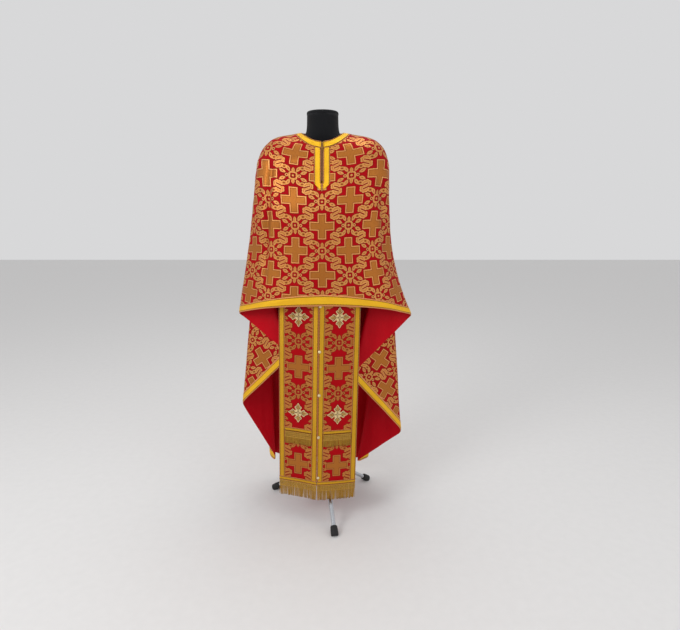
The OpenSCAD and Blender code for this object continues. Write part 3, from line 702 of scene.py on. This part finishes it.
def whole_cape():
    """The cape as one grid of points, in metres, from the back seam round the left, the front and the right."""
    halves = []
    levels = np.linspace(0, 4, 240)
    for side in SIDES:
        half = resampled(cape_half(side, levels, 8), HALF_COLUMNS, axis=1)
        half = cut_rows(half)
        if side == "left":
            half = half[:, ::-1] * np.array([-1.0, 1, 1])
        halves.append(half)
    grid = np.concatenate([halves[0][:, :-1], halves[1]], axis=1) * MM
    placket = clamp01((np.abs(grid[..., 0]) - 0.03) / 0.06)
    placket = np.maximum(placket, clamp01((1.28 - grid[..., 2]) / 0.08))
    back = grid[..., 1] >= 0
    grid = mix(grid, relaxed(grid, 10), (placket * ~back + back)[..., None])
    normals = grid_normals(grid)
    z = grid[..., 2]
    fall = clamp01((1.46 - z) / 0.35)
    columns = np.arange(grid.shape[1])
    seams = clamp01(np.minimum(columns, columns[::-1]) / 12.0)[None, :]
    behind = clamp01((grid[..., 1] - 0.02) / 0.08)
    low = clamp01((1.0 - z) / 0.6)
    train = clamp01((grid[..., 1] - 0.09) / 0.06)
    folds = soft_noise(grid, (11, 11, 2.2), 3.0) * (0.0045 + 0.004 * behind + 0.009 * train + 0.003 * low)
    folds += soft_noise(grid, (26, 26, 6), 8.0) * 0.0014
    before_stole = (np.abs(grid[..., 0]) < 0.24) & (grid[..., 1] < -0.08)
    folds = np.where(before_stole, np.maximum(folds, -0.0025), folds)
    push = folds * fall * placket * seams
    push += soft_noise(grid, (9, 30, 30), 5.0) * 0.0022 * (1 - fall) * placket * seams * clamp01((1.515 - z) / 0.03)
    push += crease(grid, (-0.178, 1.452), (-0.222, 0.98), 0.011, 0.010)
    push += crease(grid, (0.205, 1.40), (0.235, 1.02), 0.014, 0.005)
    return grid + normals * push[..., None]


def flat_half(grid, step_rows, step_columns):
    """Unrolls a cloth as rigidly as it can; its first column stays straight. Metres: across and up.

    Each triangle is turned to match the flat cloth as it is, then all points move to agree with the triangles."""
    rows = np.unique(np.append(np.arange(0, grid.shape[0], step_rows), grid.shape[0] - 1))
    columns = np.unique(np.append(np.arange(0, grid.shape[1], step_columns), grid.shape[1] - 1))
    coarse = grid[np.ix_(rows, columns)]
    width = coarse.shape[1]
    points = coarse.reshape(-1, 3)
    triangles = np.array([t for a, b, c, d in grid_faces(*coarse.shape[:2]) for t in ((a, b, c), (a, c, d))])
    start = np.stack([row_lengths(coarse), -column_lengths(coarse)], axis=-1).reshape(-1, 2)
    corners = points[triangles]
    first, second = corners[:, 1] - corners[:, 0], corners[:, 2] - corners[:, 0]
    along = np.linalg.norm(first, axis=1)
    axis = first / along[:, None]
    reach = (second * axis).sum(axis=1)
    height = np.linalg.norm(second - reach[:, None] * axis, axis=1)
    home = np.zeros((len(triangles), 3, 2))
    home[:, 1, 0], home[:, 2, 0], home[:, 2, 1] = along, reach, height
    order = start[triangles]
    span = order - order[:, :1]
    area = span[:, 1, 0] * span[:, 2, 1] - span[:, 1, 1] * span[:, 2, 0]
    home[..., 1] *= np.sign(area.sum())
    edges = [(0, 1, 2), (1, 2, 0), (2, 0, 1)]
    weights, rests = [], []
    for a, b, c in edges:
        u, v = home[:, a] - home[:, c], home[:, b] - home[:, c]
        cotangent = (u * v).sum(axis=1) / np.maximum(1e-9, abs(u[:, 0] * v[:, 1] - u[:, 1] * v[:, 0]))
        weights.append(np.clip(cotangent, 0.05, 5))
        rests.append(home[:, a] - home[:, b])
    count = len(points)
    matrix = np.zeros((count, count))
    for (a, b, c), w in zip(edges, weights):
        i, j = triangles[:, a], triangles[:, b]
        for p, q, sign in ((i, i, 1), (j, j, 1), (i, j, -1), (j, i, -1)):
            np.add.at(matrix, (p, q), sign * w)
    seam = np.arange(0, count, width)
    pull = np.zeros(count)
    pull[seam] = 50
    inverse = np.linalg.inv(matrix + np.diag(pull))
    flat = start.copy()
    for _ in range(80):
        placed = flat[triangles]
        sums = np.zeros((len(triangles), 2))
        for (a, b, c), w, rest in zip(edges, weights, rests):
            edge = placed[:, a] - placed[:, b]
            sums[:, 0] += w * (edge * rest).sum(axis=1)
            sums[:, 1] += w * (edge[:, 1] * rest[:, 0] - edge[:, 0] * rest[:, 1])
        sums /= np.maximum(1e-12, np.linalg.norm(sums, axis=1))[:, None]
        right = pull[:, None] * start
        for (a, b, c), w, rest in zip(edges, weights, rests):
            turned = np.stack([sums[:, 0] * rest[:, 0] - sums[:, 1] * rest[:, 1],
                               sums[:, 1] * rest[:, 0] + sums[:, 0] * rest[:, 1]], axis=1) * w[:, None]
            np.add.at(right, triangles[:, a], turned)
            np.add.at(right, triangles[:, b], -turned)
        flat = inverse @ right
    flat = flat.reshape(*coarse.shape[:2], 2)
    full = np.empty((*grid.shape[:2], 2))
    for k in range(2):
        wide = np.array([np.interp(np.arange(grid.shape[1]), columns, row) for row in flat[..., k]])
        full[..., k] = np.array([np.interp(np.arange(grid.shape[0]), rows, col) for col in wide.T]).T
    return full


CROSS_ROW = 0.3075      # length from the neck to the first whole cross under the placket


def cape_flat(grid):
    """Where each point of the cape lies in the flat cloth, with a cross of the weave on the front's middle."""
    right = flat_half(grid[:, MIDDLE:], 4, 4)
    left = flat_half(grid[:, MIDDLE::-1], 4, 4)
    flat = np.concatenate([(left * (-1, 1))[:, :0:-1], right], axis=1)
    flat[..., 1] += CROSS_ROW
    return flat


def in_slit(grid):
    """Whether a cell of the grid is in the zip's slit or at its edge."""
    last = int(np.searchsorted(column_lengths(grid)[:, MIDDLE], SLIT_L * MM))
    return lambda r, c: r < last and c in (MIDDLE - 1, MIDDLE)


def open_slit(grid):
    """Moves the columns beside the front seam to the slit's edges, so that the middle cells can be left out."""
    grid = grid.copy()
    along = column_lengths(grid)[:, MIDDLE]
    opening = clamp01((SLIT_L * MM - along) / 0.008) * SLIT_HALF_W * MM
    for sign in (-1, 1):
        for step in range(1, 6):
            column = grid[:, MIDDLE + sign * step]
            column[:, 0] = sign * np.maximum(np.abs(column[:, 0]), opening + (step - 1) * 0.0012)
    return grid


BROCADE_LAYER, LINING_LAYER, BRAID_LAYER = (0.0, 0.0010), (-0.0011, -0.0003), (0.0013, 0.0021)


def build_cape(materials):
    grid = open_slit(whole_cape())
    normals = grid_normals(grid)
    flat = cape_flat(grid)
    skip = in_slit(grid)
    across = row_lengths(grid)
    along = column_lengths(grid)
    hem_rows, collar_rows = slice(grid.shape[0] - HEM_ROWS, None), slice(0, COLLAR_ROWS)
    pieces = (
        ("cape_brocade", slice(None), BROCADE_LAYER, flat, "cape_brocade", "red_gold_brocade", skip,
         ("cape_left_half", "cape_right_half")),
        ("cape_lining", slice(None), LINING_LAYER, flat, "lining", "red_satin", skip,
         ("cape_lining_left", "cape_lining_right")),
        ("cape_hem_galloon", hem_rows, BRAID_LAYER, np.stack([along[-1] - along, across], axis=-1),
         "hem_galloon", "gold_galloon", nowhere, ("hem_galloon_left", "hem_galloon_right")),
        ("collar_galloon", collar_rows, BRAID_LAYER, np.stack([along, across], axis=-1),
         "collar_galloon", "gold_galloon", lambda r, c: c in (MIDDLE - 1, MIDDLE), ("collar_galloons",)))
    made = {}
    for name, rows, layer, place, material, slot, left_out, nodes in pieces:
        piece = cloth_shell(name, grid[rows], normals[rows], *layer, place[rows], materials[material], left_out)
        made[name] = on_form(piece, slot, *nodes)
    return grid, normals, flat, made


def at_front(grid, normals, x, distance):
    """A point and normal of the cape's front at x across and a distance down the cloth from the neck."""
    along = column_lengths(grid)[:, MIDDLE]
    row = np.interp(distance, along, np.arange(len(along)))
    low = min(int(row), grid.shape[0] - 2)
    t = row - low
    columns = slice(MIDDLE - 45, MIDDLE + 46)
    found = []
    for table in (grid, normals):
        rows = [np.array([np.interp(x, grid[r, columns, 0], table[r, columns, k]) for k in range(3)])
                for r in (low, low + 1)]
        found.append(mix(rows[0], rows[1], t))
    return found[0], found[1] / np.linalg.norm(found[1])


PLACKET_W = 0.024
PLACKET_TIP = 0.184


def build_placket(grid, normals, materials):
    """Two lengths of braid down the slit's edges, which meet under it and end in a point."""
    edge, start = SLIT_HALF_W * MM, COLLAR_W * MM + 0.0008
    shares = np.linspace(0, 1, 12)
    made = []
    for side in SIDES:
        sign = SIGN[side]
        rows = []
        for t in np.linspace(0, 1, 64):
            row = []
            for share in shares:
                outer = edge + PLACKET_W
                reach = mix(start, PLACKET_TIP - share * outer, t)
                inner = edge * clamp01((SLIT_L * MM + 0.004 - reach) / 0.005) + 0.0002
                point, normal = at_front(grid, normals, sign * mix(inner, outer, share), reach)
                row.append((point, normal, (share * PLACKET_W, reach, 0)))
            rows.append(row)
        points, offsets, flat = np.moveaxis(np.array(rows), 2, 0)
        if side == "left":
            points, offsets, flat = points[:, ::-1], offsets[:, ::-1], flat[:, ::-1]
        piece = cloth_shell(f"placket_braid_{side}", points, offsets, *BRAID_LAYER, flat[..., :2],
                            materials["placket_galloon"])
        made.append(on_form(piece, "gold_galloon", f"placket_galloon_{side}"))
    return made


# ------------------------------------------------------------------ the stole
STOLE_TOP_Z, FRINGE_TIP_Z = 1372, 105
HEM_FRINGE_L = 64
PANEL_FOOT_Z = FRINGE_TIP_Z + HEM_FRINGE_L
PANEL_W, EDGE_W = 153, 22
PANEL_T = 1.4
CROSS_HEIGHTS = (858, 472)
CROSS_SPAN, CROSS_FROM_EDGE = 80, 76
CROSS_DROP = CROSS_HEIGHTS[0] - CROSS_HEIGHTS[1]
WOVEN_DROP = 198       # from an embroidered cross to the next woven one below it
MID_TOP_Z, NARROW_W, MID_FRINGE_L = FRINGE_TIP_Z + 301, 16.5, 69


def stole_x(z):
    return mix(-33, -13, z / FRONT_HEM_Z)


def front_y(z):
    upper = mix(NECK_FRONT[1], CHEST_FRONT[1], (NECK_FRONT[2] - z) / (NECK_FRONT[2] - CHEST_FRONT[2]))
    lower = mix(CHEST_FRONT[1], -170, clamp01((CHEST_FRONT[2] - z) / (CHEST_FRONT[2] - FRONT_HEM_Z)))
    return np.where(z > CHEST_FRONT[2], upper, lower)


def stole_y(side, w, z):
    drop = clamp01((STOLE_TOP_Z - z) / 300)
    t = w / PANEL_W
    plumb = np.where(z > FRONT_HEM_Z, front_y(z) + mix(9, 13, drop), mix(-166, -157, z / FRONT_HEM_Z))
    if side == "left":
        return plumb + mix(18, 48, drop) * t
    return plumb + (24 + 8 * clamp01((z - FRONT_HEM_Z) / 150)) * t * t


def stole_grid(side, widths, heights):
    """A grid of points, in metres, on a panel's back face, with its slow waves."""
    sign = SIGN[side]
    w, z = np.meshgrid(widths, heights)
    points = np.stack([stole_x(z) + sign * (0.4 + w), stole_y(side, w, z), z], axis=-1)
    hang = clamp01((STOLE_TOP_Z - z) / 500)
    wave = np.sin(z / 173 + 1.3 * (side == "left")) * 1.2 + np.sin(z / 71 + w / 60) * 0.6
    cup = np.cos((w / PANEL_W - 0.5) * 2 * math.pi) * 0.8
    points[..., 1] += (wave * np.sin(w / PANEL_W * math.pi) + cup) * hang * (z < 1100)
    return points * MM


def stole_layer(name, side, low, high, heights, widths, material, slot, nodes, flat=None):
    points = stole_grid(side, widths, heights)
    if side == "left":
        points = points[:, ::-1]
    normals = grid_normals(points)
    normals *= np.where(normals[..., 1:2] > 0, -1, 1)
    w, z = np.meshgrid(widths[::-1] if side == "left" else widths, heights)
    if flat is None:
        flat = np.stack([w - PANEL_W / 2, z - CROSS_HEIGHTS[0] + WOVEN_DROP], axis=-1) * MM
    else:
        flat = flat(w, z)
    return on_form(cloth_shell(name, points, normals, low * MM, high * MM, flat, material), slot, *nodes)


def stole_front(side, w, z, lift):
    """A point in front of a panel and the panel's frame there: across, up and out."""
    points = stole_grid(side, np.array([w - 1, w, w + 1]), np.array([z + 1, z, z - 1]))
    across = Vector(points[1, 2] - points[1, 0]).normalized() * SIGN[side]
    up = Vector(points[0, 1] - points[2, 1]).normalized()
    out = across.cross(up).normalized()
    if out.y > 0:
        out = -out
    return Vector(points[1, 1]) + out * lift * MM, across, up, out


def spaced(start, end, step):
    return np.linspace(start, end, max(2, int(round(abs(end - start) / step)) + 1))


def build_stole(materials):
    heights = spaced(STOLE_TOP_Z, PANEL_FOOT_Z, 8)
    trim, trim_t = PANEL_T + 0.3, 0.8
    whole = spaced(0, PANEL_W, 5)
    made = {}
    for side in SIDES:
        panel = stole_layer(f"stole_{side}_brocade", side, 0.2, PANEL_T, heights, whole, materials["stole_brocade"],
                            "red_gold_brocade", [f"stole_{side}_panel"])
        satin_back = stole_layer(f"stole_{side}_satin", side, -0.9, -0.1, heights, whole, materials["lining"],
                                 "red_satin", [f"stole_{side}_lining"])
        braids = []
        for place, first, last in (("outer", PANEL_W - EDGE_W, PANEL_W), ("inner", 0, EDGE_W)):
            braids.append(stole_layer(
                f"stole_{side}_{place}_braid", side, trim, trim + trim_t, heights, spaced(first, last, 4),
                materials["edge_galloon"], "gold_galloon", [f"stole_{place}_galloon_{side}"],
                lambda w, z, start=first: np.stack([w - start, z], axis=-1) * MM))
        between = spaced(EDGE_W + 0.6, PANEL_W - EDGE_W - 0.6, 5)
        braids.append(stole_layer(
            f"stole_{side}_mid_braid", side, trim, trim + trim_t, spaced(MID_TOP_Z, MID_TOP_Z - NARROW_W, 4),
            between, materials["narrow_galloon"], "gold_galloon", ["stole_mid_galloons"] if side == "left" else [],
            lambda w, z: np.stack([MID_TOP_Z - z, w], axis=-1) * MM))
        braids.append(stole_layer(
            f"stole_{side}_hem_braid", side, trim + 1.1, trim + 1.9, spaced(PANEL_FOOT_Z + 20, PANEL_FOOT_Z + 3, 4),
            whole, materials["narrow_galloon"], "gold_galloon", ["stole_hem_galloons"] if side == "left" else [],
            lambda w, z: np.stack([PANEL_FOOT_Z + 20 - z, w], axis=-1) * MM))
        made[side] = (panel, satin_back, braids)
    return made


def build_yoke(materials):
    """The stole's neck band, under the cape and round the back of the neck."""
    made = []
    fine = np.linspace(0, 1, 30)
    steps = 4
    for side in SIDES:
        surface = cape_half(side, fine, steps)
        param = []
        for number in range(len(RIBS[side])):
            first, last = rib_span(number, len(RIBS[side]))
            param += [number + t - 0.5 for t in np.linspace(first, last, steps + 1)]
            param += [number + 0.5] * (steps - 1 if last == 1.0 else 0)
        levels = np.linspace(0.1, 1, 12)
        points = np.empty((len(levels), surface.shape[1], 3))
        for column, place in enumerate(param):
            reach = levels * mix(1, 0.55, clamp01(place / 2))
            for k in range(3):
                points[:, column, k] = np.interp(reach, fine, surface[:, column, k])
        if side == "left":
            points = points[:, ::-1] * np.array([-1.0, 1, 1])
        points *= MM
        flat = flat_half(points, 1, 1)
        piece = cloth_shell(f"stole_yoke_{side}", points, grid_normals(points), -0.0072, -0.006, flat,
                            materials["stole_brocade"])
        made.append((on_form(piece, "red_gold_brocade", f"stole_neck_{side}"), flat))
    return made


def fringe(name, side, first, last, top, foot, lift, materials, seed):
    """A braided net heading and two rows of twisted threads that hang from it."""
    rng = random.Random(seed)
    heading, pitch = 23.0, 1.5
    shapes = []
    clumps = {}
    for k in range(int((last - first) / pitch)):
        w = first + (k + 0.5) * pitch
        if k // 5 not in clumps:
            clumps[k // 5] = (rng.uniform(-2.6, 2.6), rng.uniform(-3.5, 2.0), rng.uniform(-0.8, 1.6))
        sway, drop, swing = (value + rng.uniform(-0.7, 0.7) for value in clumps[k // 5])
        depth = 0.7 * (k % 2)
        path = []
        for step in range(8):
            t = step / 7
            place = min(PANEL_W, max(0, w + sway * t * t))
            point, _, _, out = stole_front(side, place, mix(top - 2, foot + max(0, drop + 2), t), lift)
            path.append(point + out * (0.7 * math.sin(3 * t) + swing * t * t - depth) * MM)
        shapes.append(tube(path, 0.8 * MM, sides=5))
    threads = joined(name, shapes, materials["fringe"])
    net = []
    rounds = 3
    tall = heading / rounds
    for number in range(rounds):
        for strand in range(2):
            path = []
            for k in range(int((last - first) / 1.0) + 1):
                w = min(last, first + k * 1.0)
                angle = w * ROUND / 8.4 + strand * ROUND / 2 + number * 1.6
                z = top - tall * (number + 0.5) + math.sin(angle) * tall * 0.5
                path.append(stole_front(side, w, z, lift + 1.6 + math.cos(angle) * 0.5)[0])
            net.append(tube(path, 0.75 * MM, sides=5))
    for z in (top - 0.9, top - heading):
        path = [stole_front(side, min(last, first + k * 2.5), z, lift + 1.5)[0]
                for k in range(int((last - first) / 2.5) + 2)]
        net.append(tube(path, 1.0 * MM, sides=6))
    heading_net = joined(name.replace("fringe", "net"), net, materials["fringe_net"])
    return on_form(threads, "gold_fringe"), on_form(heading_net, "gold_fringe")


def build_fringes(materials):
    made = {}
    for side in SIDES:
        mid = fringe(f"mid_fringe_{side}", side, EDGE_W + 1, PANEL_W - EDGE_W - 1, MID_TOP_Z - NARROW_W - 0.5,
                     MID_TOP_Z - MID_FRINGE_L, 2.6, materials, 11 + SIGN[side])
        low = fringe(f"hem_fringe_{side}", side, 0.5, PANEL_W - 0.5, PANEL_FOOT_Z + 2, FRINGE_TIP_Z, 1.4,
                     materials, 21 + SIGN[side])
        made[side] = [*mid, *low]
    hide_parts("stole_mid_fringes")
    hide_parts("stole_hem_fringes")
    return made


BACK_CROSS_Z, BACK_CROSS_SPAN = 1190, 150


def around(points, quarter):
    c, s = math.cos(quarter * math.pi / 2), math.sin(quarter * math.pi / 2)
    return [(x * c - y * s, x * s + y * c) for x, y in points]


def smooth_path(points, steps=5, closed=False):
    """A rounded path through 2D points."""
    out = []
    count = len(points)
    for k in range(count if closed else count - 1):
        p = [points[(k + j - 1) % count] if closed else points[min(count - 1, max(0, k + j - 1))] for j in range(4)]
        for step in range(steps):
            t = step / steps
            out.append(tuple(0.5 * (2 * b + (c - a) * t + (2 * a - 5 * b + 4 * c - d) * t * t
                                    + (3 * b - a - 3 * c + d) * t ** 3)
                             for a, b, c, d in zip(*p)))
    if not closed:
        out.append(points[-1])
    return out


def cross_contour():
    """The outline of four pointed buds round a square, in units of the cross's span."""
    half = [(0.055, 0.13), (0.075, 0.19), (0.15, 0.245), (0.165, 0.30), (0.10, 0.345), (0.055, 0.41), (0.0, 0.50)]
    arm = [(-x, y) for x, y in half[:-1]] + half[::-1]
    path = []
    for quarter in range(4):
        path += around(arm, -quarter) + around([(0.135, 0.135)], -quarter)
    return path


def embroidered_cross(label, place, span, materials):
    """A raised cross of laid cords on a dark ground. place(x, y, lift) finds a point on the cloth, in millimetres."""
    contour = cross_contour()

    def put(path, lift, scale=1.0):
        return [Vector(place(x * span * scale, y * span * scale, lift)) for x, y in path]

    border = smooth_path([(x * 1.05, y * 1.05) for x, y in contour], 3, closed=True)
    rings = [border] + [[(x * t, y * t) for x, y in border] for t in (0.66, 0.33)]
    points = [p for ring in rings for p in put(ring, 0.9)] + put([(0, 0)], 0.9)
    foot = len(points)
    points += put(border, -0.2)
    count = len(border)
    faces = []
    for k in range(count):
        n = (k + 1) % count
        for ring in range(len(rings) - 1):
            faces.append((ring * count + n, ring * count + k, (ring + 1) * count + k, (ring + 1) * count + n))
        last = (len(rings) - 1) * count
        faces.append((last + n, last + k, foot - 1))
        faces.append((k, n, foot + n, foot + k))
    faces.append(tuple(foot + k for k in range(count)))
    ground = new_object(f"cross_ground_{label}", points, faces, materials["cross_ground"], False)
    scale = span / CROSS_SPAN
    thick = MM * (1 + scale) / 2
    cords = [tube(put(smooth_path(contour, 5, closed=True), 1.5, 0.97), 1.3 * thick, 6, closed=True),
             tube(put(smooth_path(contour, 5, closed=True), 1.4, 0.82), 0.8 * thick, 5, closed=True)]
    filling = []
    for quarter in range(4):
        core = smooth_path([(0.0, 0.20), (0.055, 0.27), (0.0, 0.40), (-0.055, 0.27)], 6, closed=True)
        filling.append(tube(put(around(core, quarter), 1.5), 1.3 * thick, 6, closed=True))
        loop = [(0.0, 0.03), (0.075, 0.075), (0.05, 0.15), (-0.05, 0.15), (-0.075, 0.075)]
        loop = smooth_path(loop, 6, closed=True)
        cords.append(tube(put(around(loop, quarter), 1.9 + 0.3 * (quarter % 2)), 1.05 * thick, 6, closed=True))
        for lay in range(int(6 * scale)):
            y = 0.235 + lay * 0.13 / (6 * scale)
            w = 0.034 * (1 - (y - 0.235) / 0.18)
            filling.append(tube(put(around([(-w, y), (w, y + 0.01)], quarter), 1.6), 0.8 * thick, 5))
    ring = [(0.10 * math.cos(a * ROUND / 24), 0.10 * math.sin(a * ROUND / 24)) for a in range(24)]
    cords.append(tube(put(ring, 1.6), thick, 6, closed=True))
    made = [ground, joined(f"cross_cords_{label}", cords, materials["cross_cord"]),
            joined(f"cross_filling_{label}", filling, materials["cross_silver"])]
    return [on_form(piece, "gold_embroidery") for piece in made]


def build_crosses(materials):
    made = {side: [] for side in SIDES}
    for side in SIDES:
        for height, label in zip(CROSS_HEIGHTS, ("upper", "lower")):
            def on_panel(x, y, lift):
                place = CROSS_FROM_EDGE + SIGN[side] * x
                return stole_front(side, place, height + y, PANEL_T + 0.4 + lift)[0]

            made[side] += embroidered_cross(f"{side}_{label}", on_panel, CROSS_SPAN, materials)
    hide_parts("stole_crosses")
    return made


def build_back_cross(grid, materials):
    """The cross on the back lies on a smooth surface fitted to the cape behind it."""
    points = grid.reshape(-1, 3) / MM
    reach = BACK_CROSS_SPAN * 0.56
    near = points[(points[:, 1] > 0) & (abs(points[:, 0]) < reach) & (abs(points[:, 2] - BACK_CROSS_Z) < reach)]

    def terms(x, z):
        z = z - BACK_CROSS_Z
        return np.stack([x * 0 + 1, abs(x), x * x, abs(x) ** 3, z, z * z, abs(x) * z, x], axis=-1)

    factors, *_ = np.linalg.lstsq(terms(near[:, 0], near[:, 2]), near[:, 1], rcond=None)
    clear = (near[:, 1] - terms(near[:, 0], near[:, 2]) @ factors).max() + 1.2

    def on_back(x, y, lift):
        z = BACK_CROSS_Z + y
        depth = terms(np.array([-x]), np.array([z]))[0] @ factors
        return -x * MM, (depth + clear + lift) * MM, z * MM

    made = embroidered_cross("back", on_back, BACK_CROSS_SPAN, materials)
    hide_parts("back_cross")
    return made


BUTTON_COUNT, BUTTON_PITCH, BUTTON_LOW_Z = 6, 174, 205


def build_buttons(materials):
    """Faceted dome buttons with a shank, down the edge where the panels meet."""
    shapes = []
    rings = [(1.2, -1.0), (1.2, 0.4), (5.6, 0.6), (6.3, 1.3), (5.2, 2.5), (3.0, 3.5)]
    sides = 8
    for number in range(BUTTON_COUNT):
        z = BUTTON_LOW_Z + number * BUTTON_PITCH
        centre, across, up, out = stole_front("right", 4, z, PANEL_T + 1.3)
        points = []
        for radius, lift in rings:
            for k in range(sides):
                a = ROUND * (k + 0.5) / sides
                points.append(centre + (across * math.cos(a) + up * math.sin(a)) * radius * MM + out * lift * MM)
        shapes.append((points, ring_faces(len(rings), sides) + end_faces(len(rings), sides)))
    return on_form(joined("button_row", shapes, materials["button"], smooth=False), "button_gold", "stole_buttons")


# ------------------------------------------------------------------ the form
FORM_BASE_Z, FORM_TOP_Z = 862, 1600
FORM_RINGS = [
    (FORM_BASE_Z, 150, 104, 112), (900, 160, 108, 118), (960, 165, 110, 120), (1020, 158, 108, 112),
    (1080, 148, 104, 102), (1150, 152, 106, 100), (1220, 172, 110, 106), (1290, 194, 104, 110),
    (1340, 204, 90, 108), (1390, 207, 76, 100), (1425, 203, 66, 90), (1452, 192, 60, 80),
    (1474, 172, 57, 73), (1488, 146, 56, 69), (1497, 118, 56, 66), (1504, 92, 57, 63),
    (1512, 72, 58, 61), (1524, 62, 58.5, 59.5), (1545, 58.5, 58, 58), (FORM_TOP_Z - 12, 57.5, 57.5, 57.5)]


def build_form(materials):
    """The torso as one smooth loft through the same rings as the CAD shell, with its wall folded in at the base."""
    rings = np.array(FORM_RINGS, dtype=float)
    at = np.arange(len(rings))
    fine = np.linspace(0, len(rings) - 1, 90)
    rows = np.stack([np.interp(fine, at, rings[:, k]) for k in range(4)], axis=1)
    for _ in range(3):
        rows[1:-1] = (rows[:-2] + 2 * rows[1:-1] + rows[2:]) / 4
    points = []
    sides = 96
    for row in rows:
        for k in range(sides):
            angle = 360 * k / sides
            front = math.cos(math.radians(angle)) > 0
            x, y = oval(row[1], row[2] if front else row[3], angle, 0.87)
            x = math.copysign(abs(x), math.sin(math.radians(angle)))
            points.append(Vector((x, y, row[0])) * MM)
    faces = ring_faces(len(rows), sides)
    count = len(points)
    points += [Vector((p.x * 0.97, p.y * 0.97, p.z)) for p in points[:sides]]
    faces += [(k, count + k, count + (k + 1) % sides, (k + 1) % sides) for k in range(sides)]
    last = (len(rows) - 1) * sides
    faces.append(tuple(last + k for k in range(sides)))
    faces.append(tuple(count + k for k in reversed(range(sides))))
    on_form(new_object("torso_jersey", points, faces, materials["jersey"]), "black_jersey_form", "form_shell")


# ------------------------------------------------------------------ CAD pieces that keep their shape
def dress_cad(materials):
    finishes = {
        "black_plastic": moulded("black_moulding", rgb(22, 22, 24), 0.4),
        "chrome": chrome("chromed_tube"),
        "black_rubber": moulded("foot_rubber", rgb(16, 16, 17), 0.62, grain=500, height=0.0003),
        "plywood": plywood("base_board"),
        "black_jersey_form": materials["jersey"],
        "red_gold_brocade": materials["stole_brocade"],
        "red_satin": materials["lining"],
        "gold_fringe": materials["fringe"],
        "gold_embroidery": materials["cross_cord"],
        "gold_galloon": materials["edge_galloon"],
        "zip_tape": zip_weave("zip_weave"),
        "zip_brass": metal("zip_metal", rgb(120, 84, 40), rgb(206, 160, 84)),
        "button_gold": materials["button"]}
    for part in frame["record"]["subparts"]:
        node = frame["nodes"][part["node"]]
        node.data.materials.clear()
        node.data.materials.append(finishes[part["material_slot"]])


# ------------------------------------------------------------------ floor, light and camera
FLOOR_HALF_W = 9
EYE, LOOK_DOWN, LENS = (0.0638, -1.956, 1.284), 13, 26.4


def build_stage():
    floor_material = Material("floor", Roughness=0.75)
    speckle = floor_material.noise(30, 3)
    floor_material.link(floor_material.mix(speckle, rgb(226, 225, 224), rgb(220, 219, 218)), "Base Color")
    points = [(x * FLOOR_HALF_W, y * FLOOR_HALF_W, 0) for x, y in ((-1, -1), (1, -1), (1, 1), (-1, 1))]
    floor = new_object("floor", points, [(0, 1, 2, 3)], floor_material.material, False)
    world = bpy.data.worlds.new("studio")
    bpy.context.scene.world = world
    world.use_nodes = True
    backdrop = world.node_tree.nodes["Background"]
    backdrop.inputs["Color"].default_value = (*rgb(219, 219, 220), 1)
    backdrop.inputs["Strength"].default_value = 0.97
    for name, place, size, energy in (("key", (-2.4, -2.4, 2.7), 1.6, 48), ("fill", (2.6, -2.2, 1.8), 2.4, 14),
                                      ("top", (0.2, 0.2, 3.6), 2.0, 20)):
        light = bpy.data.lights.new(name, "AREA")
        light.shape = "DISK"
        light.size = size
        light.energy = energy
        lamp = bpy.data.objects.new(name, light)
        bpy.context.scene.collection.objects.link(lamp)
        lamp.location = place
        lamp.rotation_euler = (Vector((0, 0, 0.9)) - Vector(place)).to_track_quat("-Z", "Y").to_euler()


def build_camera():
    """The photograph's view: eye height of a person sitting, looking slightly down."""
    data = bpy.data.cameras.new("view")
    data.sensor_width = 36
    data.lens = LENS
    eye = bpy.data.objects.new("view", data)
    bpy.context.scene.collection.objects.link(eye)
    eye.location = EYE
    eye.rotation_euler = (math.radians(90 - LOOK_DOWN), 0, 0)
    bpy.context.scene.camera = eye


def declare_cloth(stole, fringes, crosses, buttons):
    """Gathers each stole panel's trims; nothing is done with them."""
    for side in SIDES:
        panel, satin_back, braids = stole[side]
        trims = [*braids, *fringes[side], *crosses[side]] + ([buttons] if side == "right" else [])


def main():
    # painted shade: darker gold for the stole's braids, which lie in the cape's shadow
    shaded_braid_gold = {"light": rgb(222, 170, 40), "dark": rgb(184, 130, 20)}
    materials = {
        "cape_brocade": brocade("cape_brocade", *CAPE_HALF_REPEAT),
        # painted shade: 0.6 darkens the stole's gold towards bronze, for the cape's shadow over the stole
        "stole_brocade": brocade("stole_brocade", *STOLE_HALF_REPEAT, (WOVEN_DROP, WOVEN_DROP - CROSS_DROP), 0.6),
        "lining": satin("lining_satin"),
        "hem_galloon": galloon("hem_galloon", HEM_W),
        "collar_galloon": galloon("collar_galloon", COLLAR_W),
        "placket_galloon": galloon("placket_galloon", PLACKET_W / MM),
        "edge_galloon": galloon("edge_galloon", EDGE_W, **shaded_braid_gold),
        "narrow_galloon": galloon("narrow_galloon", NARROW_W, **shaded_braid_gold),
        "fringe": fringe_thread("fringe_thread", rgb(136, 94, 14), rgb(214, 164, 56)),
        "fringe_net": fringe_thread("fringe_net", rgb(164, 116, 30), rgb(232, 186, 84)),
        "cross_ground": embroidery("cross_ground", rgb(70, 8, 10), rgb(104, 26, 22), 0.0),
        "cross_cord": embroidery("cross_cord", rgb(226, 190, 120), rgb(255, 238, 186), 0.2),
        "cross_silver": embroidery("cross_silver", rgb(176, 124, 52), rgb(236, 192, 108), 0.4),
        "button": metal("button_metal", rgb(196, 166, 110), rgb(250, 236, 196)),
        "jersey": jersey("form_jersey")}
    dress_cad(materials)
    grid, normals, flat, cape = build_cape(materials)
    placket = build_placket(grid, normals, materials)
    back_cross = build_back_cross(grid, materials)
    stole = build_stole(materials)
    yoke = build_yoke(materials)
    fringes = build_fringes(materials)
    crosses = build_crosses(materials)
    buttons = build_buttons(materials)
    build_form(materials)
    declare_cloth(stole, fringes, crosses, buttons)
    build_stage()
    build_camera()
    bpy.context.scene.view_settings.view_transform = "Standard"


main()
bpy.context.view_layer.update()
